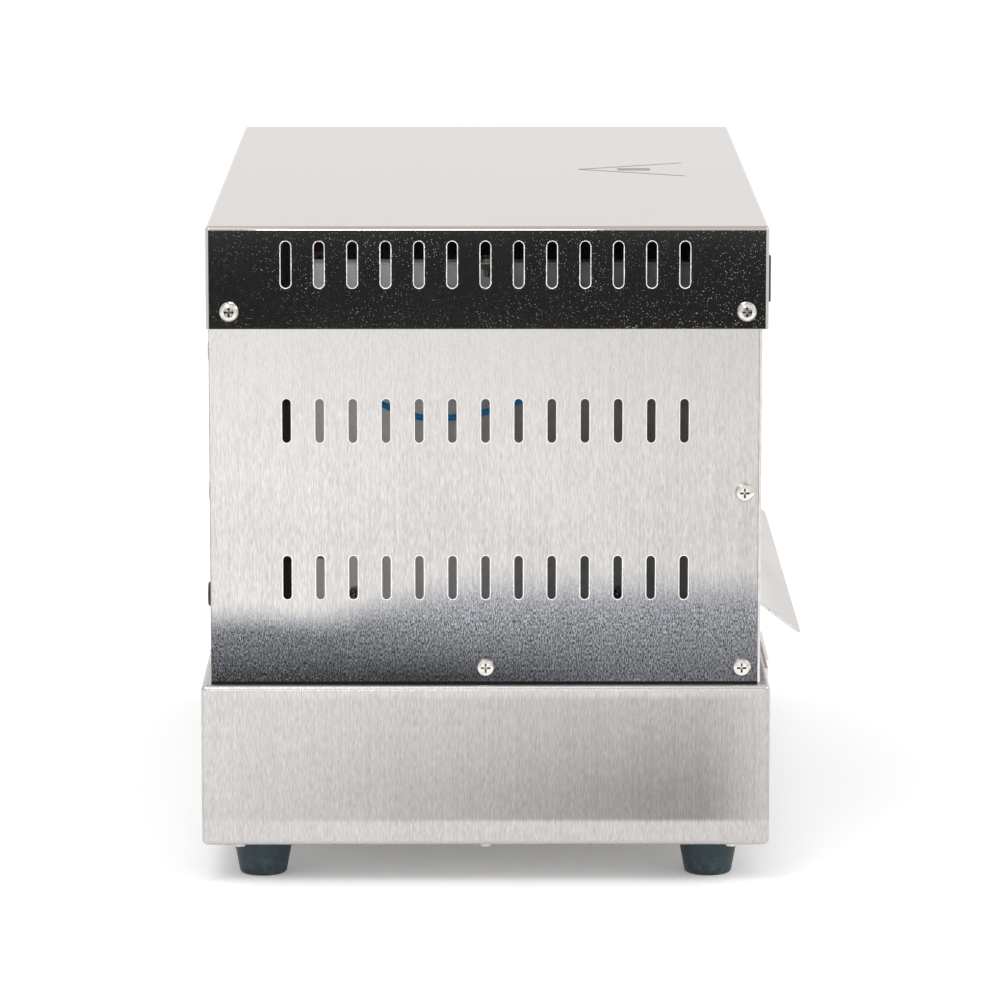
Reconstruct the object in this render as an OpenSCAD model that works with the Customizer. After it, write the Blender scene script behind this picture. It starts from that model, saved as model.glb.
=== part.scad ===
// Countertop rotisserie oven: a brushed steel housing on a base with rubber feet, with a
// flip-up glass door, a motor-driven spit with two forks, and a grease drawer in the base.
// Millimetres. +Z up, front towards -Y, origin on the floor under the middle of the oven.

/* [Housing] */
// Width of the body over its side panels
body_w = 498; // [480:2:520]
// Depth of the body, front to back
body_d = 278; // [274:1:284]
// Height of the body that shows between the base and the top cover
body_h = 181; // [181:1:190]
// Height of the top cover's skirt
cover_h = 52; // [52:1:58]
// Height of the base
base_h = 83; // [80:1:95]
// How far the base stands out past the body on every side
base_ledge = 5; // [4:0.5:6]
// Thickness of the sheet steel
sheet = 1; // [0.8:0.1:1]
// Height from the floor to the bottom of the base
foot_h = 20; // [16:1:26]

/* [Vents] */
// Number of slots in a row
slot_count = 13; // [7:2:13]
// Distance from slot to slot
slot_pitch = 16.67; // [15:0.01:17]
// Width of a slot
slot_w = 4.4; // [3:0.1:5]
// Length of a slot
slot_l = 22.4; // [16:0.1:24]

/* [Door] */
// Width of the door
door_w = 376; // [360:2:380]
// Width of the door's window
window_w = 320; // [280:2:324]
// Slope of the door's pull lip below the level
lip_angle = 37; // [30:1:42]
// Length of the door's pull lip down its slope
lip_l = 29; // [24:0.5:30]

/* [Spit] */
// Side of the square spit rod
spit_side = 8; // [6:0.5:8]
// Length of a fork's tines
tine_l = 66; // [50:1:75]
// Distance from the spit's middle to each fork's hub
fork_x = 118; // [100:1:130]

/* [Hidden] */
$fn = 64;

// levels and faces of the housing
deck_z = foot_h + base_h;
skirt_z = deck_z + body_h;
top_z = skirt_z + cover_h;
body_x = body_w / 2;
body_y = body_d / 2;
base_x = body_x + base_ledge;
base_y = body_y + base_ledge;
base_round = 3;
cover_round = 2;
cover_x = body_x + 1.5;
cover_front = body_y + 3;
cover_rear = body_y + 1.2;
panel_top_z = skirt_z + 18;
return_w = 14;
bend_r = 1.5;

// cooking chamber
chamber_x = 190;
jamb_x = chamber_x - sheet;
chamber_back_y = 94;
chamber_front_y = -123;
wall_top_z = top_z - 24;
ceiling_z = skirt_z + 5;
sill_z = deck_z + 30;
lintel_z = skirt_z + 1;
spit_y = -17;
spit_z = deck_z + 93;

// door
door_x = door_w / 2;
door_bottom_z = sill_z + 1;
door_top_z = skirt_z - 3;
door_depth = 11;
hinge_y = 6 - body_y;
hinge_z = door_top_z - 6;
pin_r = 3;
running_gap = 0.05;
window_z0 = door_bottom_z + 25;
window_z1 = door_top_z - 24;
glass_t = 4;
lip_t = 1.2;
lip_root_in = 0.8;
lip_root_z = door_bottom_z + 0.4;
lip_tip_y = -body_y - lip_l * cos(lip_angle) - lip_t * sin(lip_angle);
retainer_screw_x = [-150, 0, 150];

// grease drawer
pan_x = 168;
pan_z0 = foot_h + 36;
pan_z1 = deck_z - 11;
pan_back_y = 92;
drawer_face_y = -base_y - 0.4;
drawer_face_t = 2;
drawer_hole_x = 176;
drip_x = 160;
drip_y0 = -105;
drip_y1 = 65;

// fasteners
screw_r = 2.4;
screw_head_r = 4.75;
screw_head_h = 3.2;
rear_head_h = 0.8;
screw_edge = 8.5;
cover_screw_z = skirt_z + 9;

// feet
foot_inset = 30;
foot_top_r = 15.2;
foot_bottom_r = 12;

// heaters: [y, z] of the two legs of each hairpin
heater_r = 3.3;
heater_bend_x = 150;
top_heater_z = skirt_z - 10;
heater_half_gap = 15;
front_heater_y = -63;
rear_heater_y = 43;
back_heater_y = 84;
back_heater_z = deck_z + 77;

// drive train
gear_module = 1.5;
gear_teeth = 48;
pinion_teeth = 12;
gear_t = 6;
gear_x = 203;
gear_gap = gear_module * (gear_teeth + pinion_teeth) / 2;
shaft_r = 5;
pinion_shaft_r = 3;
bracket_x = 213;
motor_r = 24;
motor_x = 242;

// controls
control_z = top_z - 28;
power_switch_x = -175;
lamp_switch_x = -118;
switch_z = control_z - 6.5;
timer_knob_x = 104;
thermostat_knob_x = 166;
recess_x = [82, 188];
recess_half_h = 20;
recess_depth = 16;
recess_floor_y = recess_depth - cover_front;
knob_r = 14;
grip_r = 11;
flute_r = 3.2;
knob_l = 14.5;
rocker_w = 23;
rocker_h = 24.1;
rocker_rise = 3.8;
rocker_tilt = 7;
rocker_pin_r = 1.5;
rocker_axis_y = 1 - cover_front;
switch_half = 13;
switch_tab_y = 18 - cover_front;

// cord gland: its end lies as far back as the lip's tip lies forward
gland_x = 230;
gland_z = foot_h + 42;
gland_bore_r = 4;
gland_hex_r = 12;
gland_end_y = -lip_tip_y;

steel = "gainsboro";
dark_steel = "dimgray";

// ---------- shared shapes ----------

// box between two corners
module block(low, high) {
    translate(low) cube(high - low);
}

// cylinder along X from x0 to x1 around [y, z]
module rod_x(x0, x1, y, z, r) {
    translate([x0, y, z]) rotate([0, 90, 0]) cylinder(h = x1 - x0, r = r);
}

// cylinder along Y from y0 to y1 around [x, z]
module rod_y(y0, y1, x, z, r) {
    translate([x, y0, z]) rotate([-90, 0, 0]) cylinder(h = y1 - y0, r = r);
}

// mirrored copy on both sides of the YZ plane
module both_ends() {
    children();
    mirror([1, 0, 0]) children();
}

// flat rounded rectangle between two corners, made of squares and true circles
module rounded_rect(low, high, r) {
    translate([low.x + r, low.y]) square([high.x - low.x - 2 * r, high.y - low.y]);
    translate([low.x, low.y + r]) square([high.x - low.x, high.y - low.y - 2 * r]);
    for (x = [low.x + r, high.x - r], y = [low.y + r, high.y - r])
        translate([x, y]) circle(r);
}

// box with every edge rounded: three slabs, twelve edge cylinders and eight corner spheres
module rounded_box(low, high, r) {
    block([low.x + r, low.y + r, low.z], [high.x - r, high.y - r, high.z]);
    block([low.x + r, low.y, low.z + r], [high.x - r, high.y, high.z - r]);
    block([low.x, low.y + r, low.z + r], [high.x, high.y - r, high.z - r]);
    for (y = [low.y + r, high.y - r], z = [low.z + r, high.z - r])
        rod_x(low.x + r, high.x - r, y, z, r);
    for (x = [low.x + r, high.x - r], z = [low.z + r, high.z - r])
        rod_y(low.y + r, high.y - r, x, z, r);
    for (x = [low.x + r, high.x - r], y = [low.y + r, high.y - r]) {
        translate([x, y, low.z + r]) cylinder(h = high.z - low.z - 2 * r, r = r);
        for (z = [low.z + r, high.z - r])
            translate([x, y, z]) sphere(r);
    }
}

// slot that stands upright and cuts through along X
module slot_x(x0, x1, y, z, w, l) {
    for (end = [-1, 1])
        rod_x(x0, x1, y, z + end * (l - w) / 2, w / 2);
    block([x0, y - w / 2, z - (l - w) / 2], [x1, y + w / 2, z + (l - w) / 2]);
}

// slot that stands upright and cuts through along Y
module slot_y(y0, y1, x, z, w, l) {
    for (end = [-1, 1])
        rod_y(y0, y1, x, z + end * (l - w) / 2, w / 2);
    block([x - w / 2, y0, z - (l - w) / 2], [x + w / 2, y1, z + (l - w) / 2]);
}

// where the slots of a row lie, measured from its middle
function slot_places() = [for (i = [0 : slot_count - 1]) (i - (slot_count - 1) / 2) * slot_pitch];

module slot_row_x(x0, x1, z, w, l) {
    for (y = slot_places()) slot_x(x0, x1, y, z, w, l);
}

// pan-head screw with a cross recess: its head's underside at z = 0, its shank down to -shank
module pan_screw(head_r, head_h, shank_r, shank) {
    difference() {
        union() {
            cylinder(h = head_h * 0.45, r = head_r);
            translate([0, 0, head_h * 0.45])
                cylinder(h = head_h * 0.35, r1 = head_r, r2 = head_r * 0.84);
            translate([0, 0, head_h * 0.8])
                cylinder(h = head_h * 0.2, r1 = head_r * 0.84, r2 = head_r * 0.55);
        }
        for (turn = [0, 90])
            rotate([0, 0, turn])
                translate([-head_r * 0.5, -head_r * 0.11, head_h * 0.45])
                    cube([head_r, head_r * 0.22, head_h]);
    }
    translate([0, 0, -shank]) cylinder(h = shank, r = shank_r);
}

// panel screw whose head bears on a face with the given outward turn
module panel_screw_at(place, turn, head_h = screw_head_h) {
    translate(place) rotate(turn) pan_screw(screw_head_r, head_h, screw_r, 8);
}

// direction, and frame carried along a route without twisting
function unit(v) = v / norm(v);
function tangent_at(route, i) =
    unit(route[min(i + 1, len(route) - 1)] - route[max(i - 1, 0)]);
function carried(normal, tangent) = unit(normal - (normal * tangent) * tangent);
function normals(route, i, last) =
    i >= len(route) ? [] :
    let (now = carried(last, tangent_at(route, i))) concat([now], normals(route, i + 1, now));

// smooth curve through the given points, steps pieces to a span
function spline_point(a, b, c, d, t) =
    0.5 * (2 * b + (c - a) * t + (2 * a - 5 * b + 4 * c - d) * t * t
        + (3 * b - a - 3 * c + d) * t * t * t);
function spline(points, steps) = concat(
    [for (i = [0 : len(points) - 2], s = [0 : steps - 1])
        spline_point(points[max(i - 1, 0)], points[i], points[i + 1],
            points[min(i + 2, len(points) - 1)], s / steps)],
    [points[len(points) - 1]]);

// round tube swept along a route as one closed polyhedron
module swept_tube(points, r, first_normal, sides = 8, steps = 4) {
    route = spline(points, steps);
    side = normals(route, 0, first_normal);
    rings = [for (i = [0 : len(route) - 1], k = [0 : sides - 1])
        let (t = tangent_at(route, i), n = side[i], b = cross(t, n), a = 360 * k / sides)
            route[i] + r * (cos(a) * n + sin(a) * b)];
    last = (len(route) - 1) * sides;
    walls = [for (i = [0 : len(route) - 2], k = [0 : sides - 1], half = [0, 1])
        let (a = i * sides + k, b = i * sides + (k + 1) % sides)
            half == 0 ? [a, a + sides, b] : [b, a + sides, b + sides]];
    caps = [[for (k = [0 : sides - 1]) k], [for (k = [sides - 1 : -1 : 0]) last + k]];
    polyhedron(rings, concat(walls, caps), convexity = 6);
}

// outline of a spur gear with straight-flanked teeth and backlash, a tooth on +X
function gear_outline(teeth) =
    let (
        pitch_r = gear_module * teeth / 2,
        tip_r = pitch_r + 0.85 * gear_module,
        root_r = pitch_r - 1.15 * gear_module,
        half = gear_module * 180 / PI * (PI / 4) * 0.82,
        slope = tan(20) * 180 / PI,
        tip = (half - 0.85 * gear_module * slope) / tip_r,
        root = (half + 1.15 * gear_module * slope) / root_r
    )
    [for (i = [0 : teeth - 1])
        let (a = 360 * i / teeth)
            each [
                root_r * [cos(a - root), sin(a - root)],
                tip_r * [cos(a - tip), sin(a - tip)],
                tip_r * [cos(a + tip), sin(a + tip)],
                root_r * [cos(a + root), sin(a + root)]
            ]];

// ---------- base ----------

// folded shell of the base: rounded edges, a rolled-in bottom flange, holes for the drawer and the drip opening
module base_shell() {
    color(steel) difference() {
        rounded_box([-base_x, -base_y, foot_h], [base_x, base_y, deck_z], base_round);
        rounded_box(
            [-base_x + sheet, -base_y + sheet, foot_h + sheet],
            [base_x - sheet, base_y - sheet, deck_z - sheet], base_round - sheet);
        block([-base_x + return_w, -base_y + return_w, foot_h - 1],
            [base_x - return_w, base_y - return_w, foot_h + 2]);
        block([-drawer_hole_x, -base_y - 1, pan_z0 - 2], [drawer_hole_x, -base_y + 2, pan_z1 + 1.5]);
        block([-drip_x - 4, drip_y0 - 4, deck_z - 2], [drip_x + 4, drip_y1 + 4, deck_z + 1]);
        rod_y(base_y - 3, base_y + 1, gland_x, gland_z, 8);
        for (x = [-1, 1], y = [-1, 0, 1])
            translate([x * (base_x - 10), y * (base_y - 19), foot_h - 1]) cylinder(h = 3, r = screw_r);
    }
}

// plate that closes the base from below; it lies on the shell's bottom flange
module base_plate() {
    color(steel) difference() {
        block([-base_x + 4, -base_y + 4, foot_h + sheet], [base_x - 4, base_y - 4, foot_h + 2 * sheet]);
        for (x = [-1, 1], y = [-1, 0, 1])
            translate([x * (base_x - 10), y * (base_y - 19), foot_h]) cylinder(h = 3, r = screw_r);
        for (x = [-1, 1], y = [-1, 1])
            translate([x * (base_x - foot_inset), y * (base_y - foot_inset), foot_h])
                cylinder(h = 3, r = screw_r);
        for (i = [-6 : 6])
            translate([i * 20, 0, foot_h]) block([-2, -30, 0], [2, 30, 3]);
    }
}

module at_feet() {
    for (x = [-1, 1], y = [-1, 1])
        translate([x * (base_x - foot_inset), y * (base_y - foot_inset), 0]) children();
}

module feet() {
    color("darkslategray") at_feet() difference() {
        union() {
            cylinder(h = 1, r1 = foot_bottom_r - 1, r2 = foot_bottom_r);
            translate([0, 0, 1]) cylinder(h = foot_h - 3, r1 = foot_bottom_r, r2 = foot_top_r);
            translate([0, 0, foot_h - 2]) cylinder(h = 2 + sheet, r = foot_top_r);
        }
        translate([0, 0, -1]) cylinder(h = foot_h - 6, r = 6);
        cylinder(h = foot_h + 2, r = screw_r + 0.2);
    }
}

// screws through the feet, and those that hold the base plate to the shell's flange
module base_screws() {
    color("silver") {
        at_feet() translate([0, 0, foot_h - 7]) mirror([0, 0, 1])
            pan_screw(screw_head_r, screw_head_h, screw_r, 14);
        for (x = [-1, 1], y = [-1, 0, 1])
            translate([x * (base_x - 10), y * (base_y - 19), foot_h])
                mirror([0, 0, 1]) pan_screw(4, 2.4, screw_r, 6);
    }
}

// ---------- casing ----------

// side panel with its rear edge bent round the corner
module side_panel() {
    difference() {
        translate([0, 0, deck_z]) linear_extrude(panel_top_z - deck_z) {
            translate([-body_x, -body_y + bend_r + 0.1]) square([sheet, body_d - 2 * bend_r - 0.1]);
            translate([-body_x + bend_r, body_y - sheet]) square([return_w - bend_r, sheet]);
            translate([-body_x + bend_r, body_y - bend_r]) difference() {
                circle(bend_r);
                circle(bend_r - sheet);
                translate([0, -2]) square([2, 4]);
                translate([-2, -2]) square([4, 2]);
            }
        }
        for (z = [deck_z + 54.5, deck_z + 134.5])
            slot_row_x(-body_x - 1, -body_x + 2, z, slot_w, slot_l);
        for (place = side_screw_places())
            rod_x(-body_x - 1, -body_x + 2, place.x, place.y, screw_r);
        for (y = cover_screw_ys())
            rod_x(-body_x - 1, -body_x + 2, y, cover_screw_z, screw_r);
        for (z = rear_screw_zs())
            rod_y(body_y - 2, body_y + 1, -body_x + 8, z, screw_r);
    }
}

// [y, z] of the screws in a side panel, y of those in the cover's side skirt, z of those in the rear bend
low_screw_z = deck_z + 8.5;
function side_screw_places() = [
    [-body_y + screw_edge, deck_z + 98], [-body_y + screw_edge + 1, low_screw_z], [0, low_screw_z]
];
function cover_screw_ys() = [-body_y + 8, body_y - 10.5];
function rear_screw_zs() = [deck_z + 12, deck_z + 98, panel_top_z - 30];

module left_side_panel() {
    color(steel) side_panel();
}

module right_side_panel() {
    color(steel) mirror([1, 0, 0]) side_panel();
}

module rear_panel() {
    half_w = body_x - bend_r;
    color(steel) difference() {
        union() {
            block([-half_w, body_y - 2 * sheet, deck_z], [half_w, body_y - sheet, panel_top_z]);
            block([-half_w, body_y - return_w, deck_z], [half_w, body_y - sheet, deck_z + sheet]);
        }
        for (z = [deck_z + 60, deck_z + 130], x = [-130, 0, 130], i = [-3 : 3])
            slot_y(body_y - 3, body_y, x + i * slot_pitch, z, slot_w, slot_l);
        for (x = [-1, 1], z = rear_screw_zs())
            rod_y(body_y - 3, body_y, x * (body_x - 8), z, screw_r);
    }
}

// front frame: pillars, sill and lintel around the door, with bent corners and jambs
module front_frame() {
    color(steel) difference() {
        union() {
            block([-body_x + bend_r, -body_y, deck_z], [body_x - bend_r, -body_y + sheet, lintel_z + 8]);
            both_ends() {
                translate([-body_x + bend_r, -body_y + bend_r, deck_z])
                    intersection() {
                        cylinder(h = lintel_z + 8 - deck_z, r = bend_r);
                        block([-2, -2, 0], [0, 0, 300]);
                    }
                block([-body_x + sheet, -body_y + sheet, deck_z],
                    [-body_x + 2 * sheet, -body_y + return_w, lintel_z + 8]);
            }
            both_ends() block([-chamber_x, -body_y, sill_z - sheet],
                [-jamb_x, -body_y + return_w, lintel_z + sheet]);
            block([-chamber_x, -body_y, sill_z - sheet], [chamber_x, chamber_front_y, sill_z]);
            block([-chamber_x, -body_y, lintel_z], [chamber_x, chamber_front_y, lintel_z + sheet]);
        }
        block([-jamb_x, -body_y - 1, sill_z], [jamb_x, -body_y + return_w + 5, lintel_z]);
        both_ends() rod_x(-chamber_x - 1, -jamb_x + 1, hinge_y, hinge_z, pin_r);
        both_ends() for (i = [0, 1])
            rod_x(-body_x, -body_x + 3, side_screw_places()[i].x, side_screw_places()[i].y, screw_r);
        both_ends() rod_x(-body_x, -body_x + 3, cover_screw_ys()[0], cover_screw_z, screw_r);
        for (span = [recess_x, switch_span(power_switch_x), switch_span(lamp_switch_x)])
            block([span[0] - 2, -body_y - 1, lintel_z + 1.5], [span[1] + 2, -body_y + 2, lintel_z + 9]);
    }
}

// top cover: one deep-skirted cap with slots, openings for the switches, and a recess for the knobs
module top_cover() {
    color("silver") difference() {
        union() {
            cover_shell();
            control_recess(sheet, recess_floor_y, 1 - cover_front - sheet / 2);
        }
        control_recess(0, recess_floor_y - sheet, -cover_front - 1);
        both_ends() {
            slot_row_x(-cover_x - 1, -cover_x + 3, top_z - 19.3, slot_w + 0.6, slot_l + 1);
            for (y = cover_screw_ys()) rod_x(-cover_x - 1, -cover_x + 3, y, cover_screw_z, screw_r);
        }
        for (x = [power_switch_x, lamp_switch_x])
            block([x - switch_half, -cover_front - 1, switch_z - switch_half],
                [x + switch_half, -cover_front + 3, switch_z + switch_half]);
        for (place = pilot_places()) rod_y(place[1] - 1, place[1] + 3, place[0], place[2], pilot_r);
        for (x = [timer_knob_x, thermostat_knob_x])
            rod_y(recess_floor_y - 3, recess_floor_y + 1, x, control_z, neck_r);
        for (x = [-156 : 24 : 156])
            slot_y(cover_rear - 3, cover_rear + 1, x, top_z - 19.3, slot_w + 0.6, slot_l + 1);
    }
}

module cover_shell() {
    difference() {
        rounded_box([-cover_x, -cover_front, skirt_z - 6], [cover_x, cover_rear, top_z], cover_round);
        rounded_box(
            [-cover_x + sheet, -cover_front + sheet, skirt_z - 8],
            [cover_x - sheet, cover_rear - sheet, top_z - sheet], cover_round - sheet);
        block([-cover_x - 1, -cover_front - 1, skirt_z - 10], [cover_x + 1, cover_rear + 1, skirt_z]);
    }
}

// the knobs' recess as a solid, grown by a margin on its four sides
module control_recess(margin, deep_y, front_y) {
    block([recess_x[0] - margin, front_y, control_z - recess_half_h - margin],
        [recess_x[1] + margin, deep_y, control_z + recess_half_h + margin]);
}

// [x, y of the surface it sits on, z] of each pilot lamp
function pilot_places() = [
    [(power_switch_x + lamp_switch_x) / 2, -cover_front, switch_z],
    [(timer_knob_x + thermostat_knob_x) / 2, recess_floor_y - sheet, control_z]
];
pilot_r = 4.5;
neck_r = 4;

module panel_screws() {
    color("silver") {
        for (side = [-1, 1]) {
            for (place = side_screw_places())
                panel_screw_at([side * body_x, place.x, place.y], [0, side * 90, 0]);
            for (y = cover_screw_ys())
                panel_screw_at([side * cover_x, y, cover_screw_z], [0, side * 90, 0]);
            for (z = rear_screw_zs())
                panel_screw_at([side * (body_x - 8), body_y, z], [-90, 0, 0], rear_head_h);
        }
    }
}

// ---------- cooking chamber ----------

module chamber_side_wall() {
    difference() {
        union() {
            block([-chamber_x - sheet, -body_y + sheet, deck_z],
                [-chamber_x, chamber_back_y + sheet, wall_top_z]);
            block([-chamber_x - 13, -body_y + 20, wall_top_z - sheet],
                [-chamber_x, chamber_back_y + sheet, wall_top_z]);
        }
        rod_x(-chamber_x - 3, -chamber_x + 1, hinge_y, hinge_z, pin_r);
        for (y = wall_bolt_ys)
            rod_x(-chamber_x - 3, -chamber_x + 1, y, wall_bolt_z, wall_bolt_r);
        translate([-chamber_x - 7, -1, wall_top_z - 3]) cylinder(h = 5, r = wall_bolt_r);
    }
}

wall_bolt_ys = [-67, 67];
wall_bolt_z = deck_z + 36;
wall_bolt_r = 2;

// bolts low in the chamber's side walls, and one down through each wall's top flange
module wall_bolts() {
    color("silver") both_ends() {
        for (y = wall_bolt_ys)
            translate([-chamber_x - sheet, y, wall_bolt_z]) rotate([0, -90, 0])
                pan_screw(4, 2.6, wall_bolt_r, 5);
        translate([-chamber_x - 7, -1, wall_top_z]) {
            pan_screw(4, 2.6, wall_bolt_r, 8);
            translate([0, 0, -sheet - 3]) cylinder(h = 3, r = 3.6, $fn = 6);
        }
    }
}

module chamber_left_wall() {
    color("darkgray") difference() {
        chamber_side_wall();
        for (leg = heater_legs())
            rod_x(-chamber_x - 3, -chamber_x + 1, leg.x, leg.y, 5);
    }
}

module chamber_right_wall() {
    color("darkgray") difference() {
        mirror([1, 0, 0]) chamber_side_wall();
        rod_x(chamber_x - 1, chamber_x + 3, spit_y, spit_z, 12);
    }
}

module chamber_rear_wall() {
    color("darkgray") difference() {
        block([-chamber_x, chamber_back_y, deck_z], [chamber_x, chamber_back_y + sheet, ceiling_z]);
        rod_y(chamber_back_y - 1, chamber_back_y + 2, lamp_x, lamp_z, 14);
        rod_y(chamber_back_y - 1, chamber_back_y + 2, 112, deck_z + 112, 1.5);
    }
}

module chamber_ceiling() {
    color("darkgray") {
        block([-chamber_x, chamber_front_y, ceiling_z],
            [chamber_x, chamber_back_y + sheet, ceiling_z + sheet]);
        block([-chamber_x, chamber_front_y, skirt_z - 5], [chamber_x, chamber_front_y + sheet, ceiling_z]);
    }
}

// floor of the chamber: a tray with a lipped opening over the grease drawer
module chamber_floor() {
    color("darkgray") difference() {
        union() {
            block([-chamber_x, chamber_front_y, deck_z], [chamber_x, chamber_back_y, deck_z + sheet]);
            block([-chamber_x, chamber_front_y, deck_z], [chamber_x, chamber_front_y + sheet, sill_z]);
            block([-drip_x - sheet, drip_y0 - sheet, deck_z - 7],
                [drip_x + sheet, drip_y1 + sheet, deck_z + sheet]);
        }
        block([-drip_x, drip_y0, deck_z - 8], [drip_x, drip_y1, deck_z + 2]);
    }
}

// reflector over the top heaters: a shallow bent trough, hung from the ceiling by two rails
module heat_reflector() {
    reflector_y0 = front_heater_y - 34;
    reflector_y1 = rear_heater_y + 34;
    color("silver") {
        translate([-176, 0, ceiling_z - 5]) rotate([90, 0, 90]) linear_extrude(352)
            polygon([
                [reflector_y0, -12], [reflector_y0 + 14, 0], [reflector_y1 - 14, 0], [reflector_y1, -12],
                [reflector_y1 + 1, -12], [reflector_y1 - 13.6, 1],
                [reflector_y0 + 13.6, 1], [reflector_y0 - 1, -12]
            ]);
        for (y = [reflector_y0 + 40, reflector_y1 - 40])
            block([-170, y - 4, ceiling_z - 4], [170, y + 4, ceiling_z]);
    }
}

// hairpin heater whose two legs leave through the left wall; lying down or upright
function heater_pairs() = [
    [[front_heater_y - heater_half_gap, top_heater_z], [front_heater_y + heater_half_gap, top_heater_z]],
    [[rear_heater_y - heater_half_gap, top_heater_z], [rear_heater_y + heater_half_gap, top_heater_z]],
    [[back_heater_y, back_heater_z - heater_half_gap], [back_heater_y, back_heater_z + heater_half_gap]]
];
function heater_legs() = [for (pair = heater_pairs()) each pair];
heater_end_x = -chamber_x - 14;

module hairpin(pair, turn) {
    middle = (pair[0] + pair[1]) / 2;
    for (leg = pair) rod_x(heater_end_x, heater_bend_x, leg.x, leg.y, heater_r);
    translate([heater_bend_x, middle.x, middle.y]) rotate([turn, 0, 0]) rotate([0, 0, -90])
        rotate_extrude(angle = 180) translate([heater_half_gap, 0]) circle(heater_r);
}

module top_heaters() {
    color(dark_steel) for (i = [0, 1]) hairpin(heater_pairs()[i], 0);
}

module back_heater() {
    color(dark_steel) hairpin(heater_pairs()[2], 90);
}

module heater_insulators() {
    color("white") for (leg = heater_legs()) difference() {
        union() {
            rod_x(-chamber_x - 7, -chamber_x + 3, leg.x, leg.y, 5);
            rod_x(-chamber_x - 7, -chamber_x - sheet, leg.x, leg.y, 7);
        }
        rod_x(-chamber_x - 8, -chamber_x + 4, leg.x, leg.y, heater_r);
    }
}

module heater_terminals() {
    color("goldenrod") for (leg = heater_legs()) {
        rod_x(heater_end_x - 9, heater_end_x, leg.x, leg.y, 1.6);
        translate([heater_end_x - 4.4, leg.x, leg.y]) rotate([0, 90, 0]) cylinder(h = 2.4, r = 3.2, $fn = 6);
        translate([heater_end_x - 7.6, leg.x, leg.y]) rotate([0, 90, 0]) cylinder(h = 2.4, r = 3.2, $fn = 6);
    }
    color("goldenrod") terminal_strap();
}

// strap between the nuts of the two top heaters, which puts them in series
module terminal_strap() {
    x0 = heater_end_x - 5.2;
    x1 = heater_end_x - 4.4;
    ends = [front_heater_y - heater_half_gap, rear_heater_y - heater_half_gap];
    difference() {
        union() {
            block([x0, ends[0] - 3, top_heater_z + 5], [x1, ends[1] + 3, top_heater_z + 9]);
            for (y = ends) {
                rod_x(x0, x1, y, top_heater_z, 4);
                block([x0, y - 3, top_heater_z], [x1, y + 3, top_heater_z + 9]);
            }
        }
        for (y = ends) rod_x(x0 - 1, x1 + 1, y, top_heater_z, 1.6);
    }
}

// hanging plates that carry the hairpins near their bends
module heater_clips() {
    clip_x = heater_bend_x - 12;
    color("silver") {
        for (pair = [heater_pairs()[0], heater_pairs()[1]]) difference() {
            block([clip_x, pair[0].x - 5, top_heater_z - 7], [clip_x + 1.5, pair[1].x + 5, ceiling_z - 5]);
            for (leg = pair) rod_x(clip_x - 1, clip_x + 3, leg.x, leg.y, heater_r);
        }
        difference() {
            block([clip_x, back_heater_y - 7, back_heater_z - 24],
                [clip_x + 1.5, chamber_back_y, back_heater_z + 24]);
            for (leg = heater_pairs()[2]) rod_x(clip_x - 1, clip_x + 3, leg.x, leg.y, heater_r);
        }
    }
}

// wall bracket whose open notch carries the spit's journal
module spit_support() {
    color("silver") difference() {
        union() {
            block([-chamber_x, spit_y - 14, spit_z - 26], [-chamber_x + 1.5, spit_y + 14, spit_z + 4]);
            block([-chamber_x, spit_y - 9, spit_z - 8], [-chamber_x + 8, spit_y + 9, spit_z + 4]);
        }
        rod_x(-chamber_x + 1, -chamber_x + 9, spit_y, spit_z, 3.5 + running_gap);
        block([-chamber_x + 1, spit_y - 3.5 - running_gap, spit_z],
            [-chamber_x + 9, spit_y + 3.5 + running_gap, spit_z + 5]);
    }
}

lamp_x = 132;
lamp_z = deck_z + 137;

module lamp_holder() {
    color("white") difference() {
        union() {
            rod_y(chamber_back_y + sheet, chamber_back_y + 30, lamp_x, lamp_z, 13);
            rod_y(chamber_back_y + sheet, chamber_back_y + 4, lamp_x, lamp_z, 18);
        }
        rod_y(chamber_back_y, chamber_back_y + 20, lamp_x, lamp_z, 7);
    }
}

module lamp_bulb() {
    color("ivory") {
        rod_y(chamber_back_y, chamber_back_y + 20, lamp_x, lamp_z, 6);
        rod_y(chamber_back_y - 8, chamber_back_y, lamp_x, lamp_z, 8);
        translate([lamp_x, chamber_back_y - 8, lamp_z]) sphere(8);
    }
}

module lamp_glass() {
    color("lightcyan", 0.5) difference() {
        union() {
            rod_y(chamber_back_y - 10, chamber_back_y, lamp_x, lamp_z, 15);
            rod_y(chamber_back_y - 3, chamber_back_y, lamp_x, lamp_z, 18);
            translate([lamp_x, chamber_back_y - 10, lamp_z]) sphere(15);
        }
        rod_y(chamber_back_y - 10, chamber_back_y + 6, lamp_x, lamp_z, 12.5);
        rod_y(chamber_back_y, chamber_back_y + 6, lamp_x, lamp_z, 16);
        translate([lamp_x, chamber_back_y - 10, lamp_z]) sphere(12.5);
    }
}

module insulation() {
    color("wheat") {
        block([-186, -94, ceiling_z + sheet], [186, 92, ceiling_z + 17]);
        difference() {
            block([-186, chamber_back_y + sheet, deck_z + 3], [186, chamber_back_y + 19, ceiling_z - 3]);
            rod_y(chamber_back_y, chamber_back_y + 20, lamp_x, lamp_z, 19);
            rod_y(chamber_back_y, chamber_back_y + 20, 112, deck_z + 112, 2);
        }
    }
}

// ---------- door ----------

module hinge_pins() {
    color("silver") both_ends() {
        rod_x(-chamber_x - 8, -door_x + 7, hinge_y, hinge_z, pin_r);
        rod_x(-chamber_x - 4, -chamber_x - sheet, hinge_y, hinge_z, 5);
    }
}

module door_magnet() {
    color(dark_steel) block([-18, -body_y + door_depth + 0.5, sill_z], [18, chamber_front_y, sill_z + 9]);
}

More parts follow.
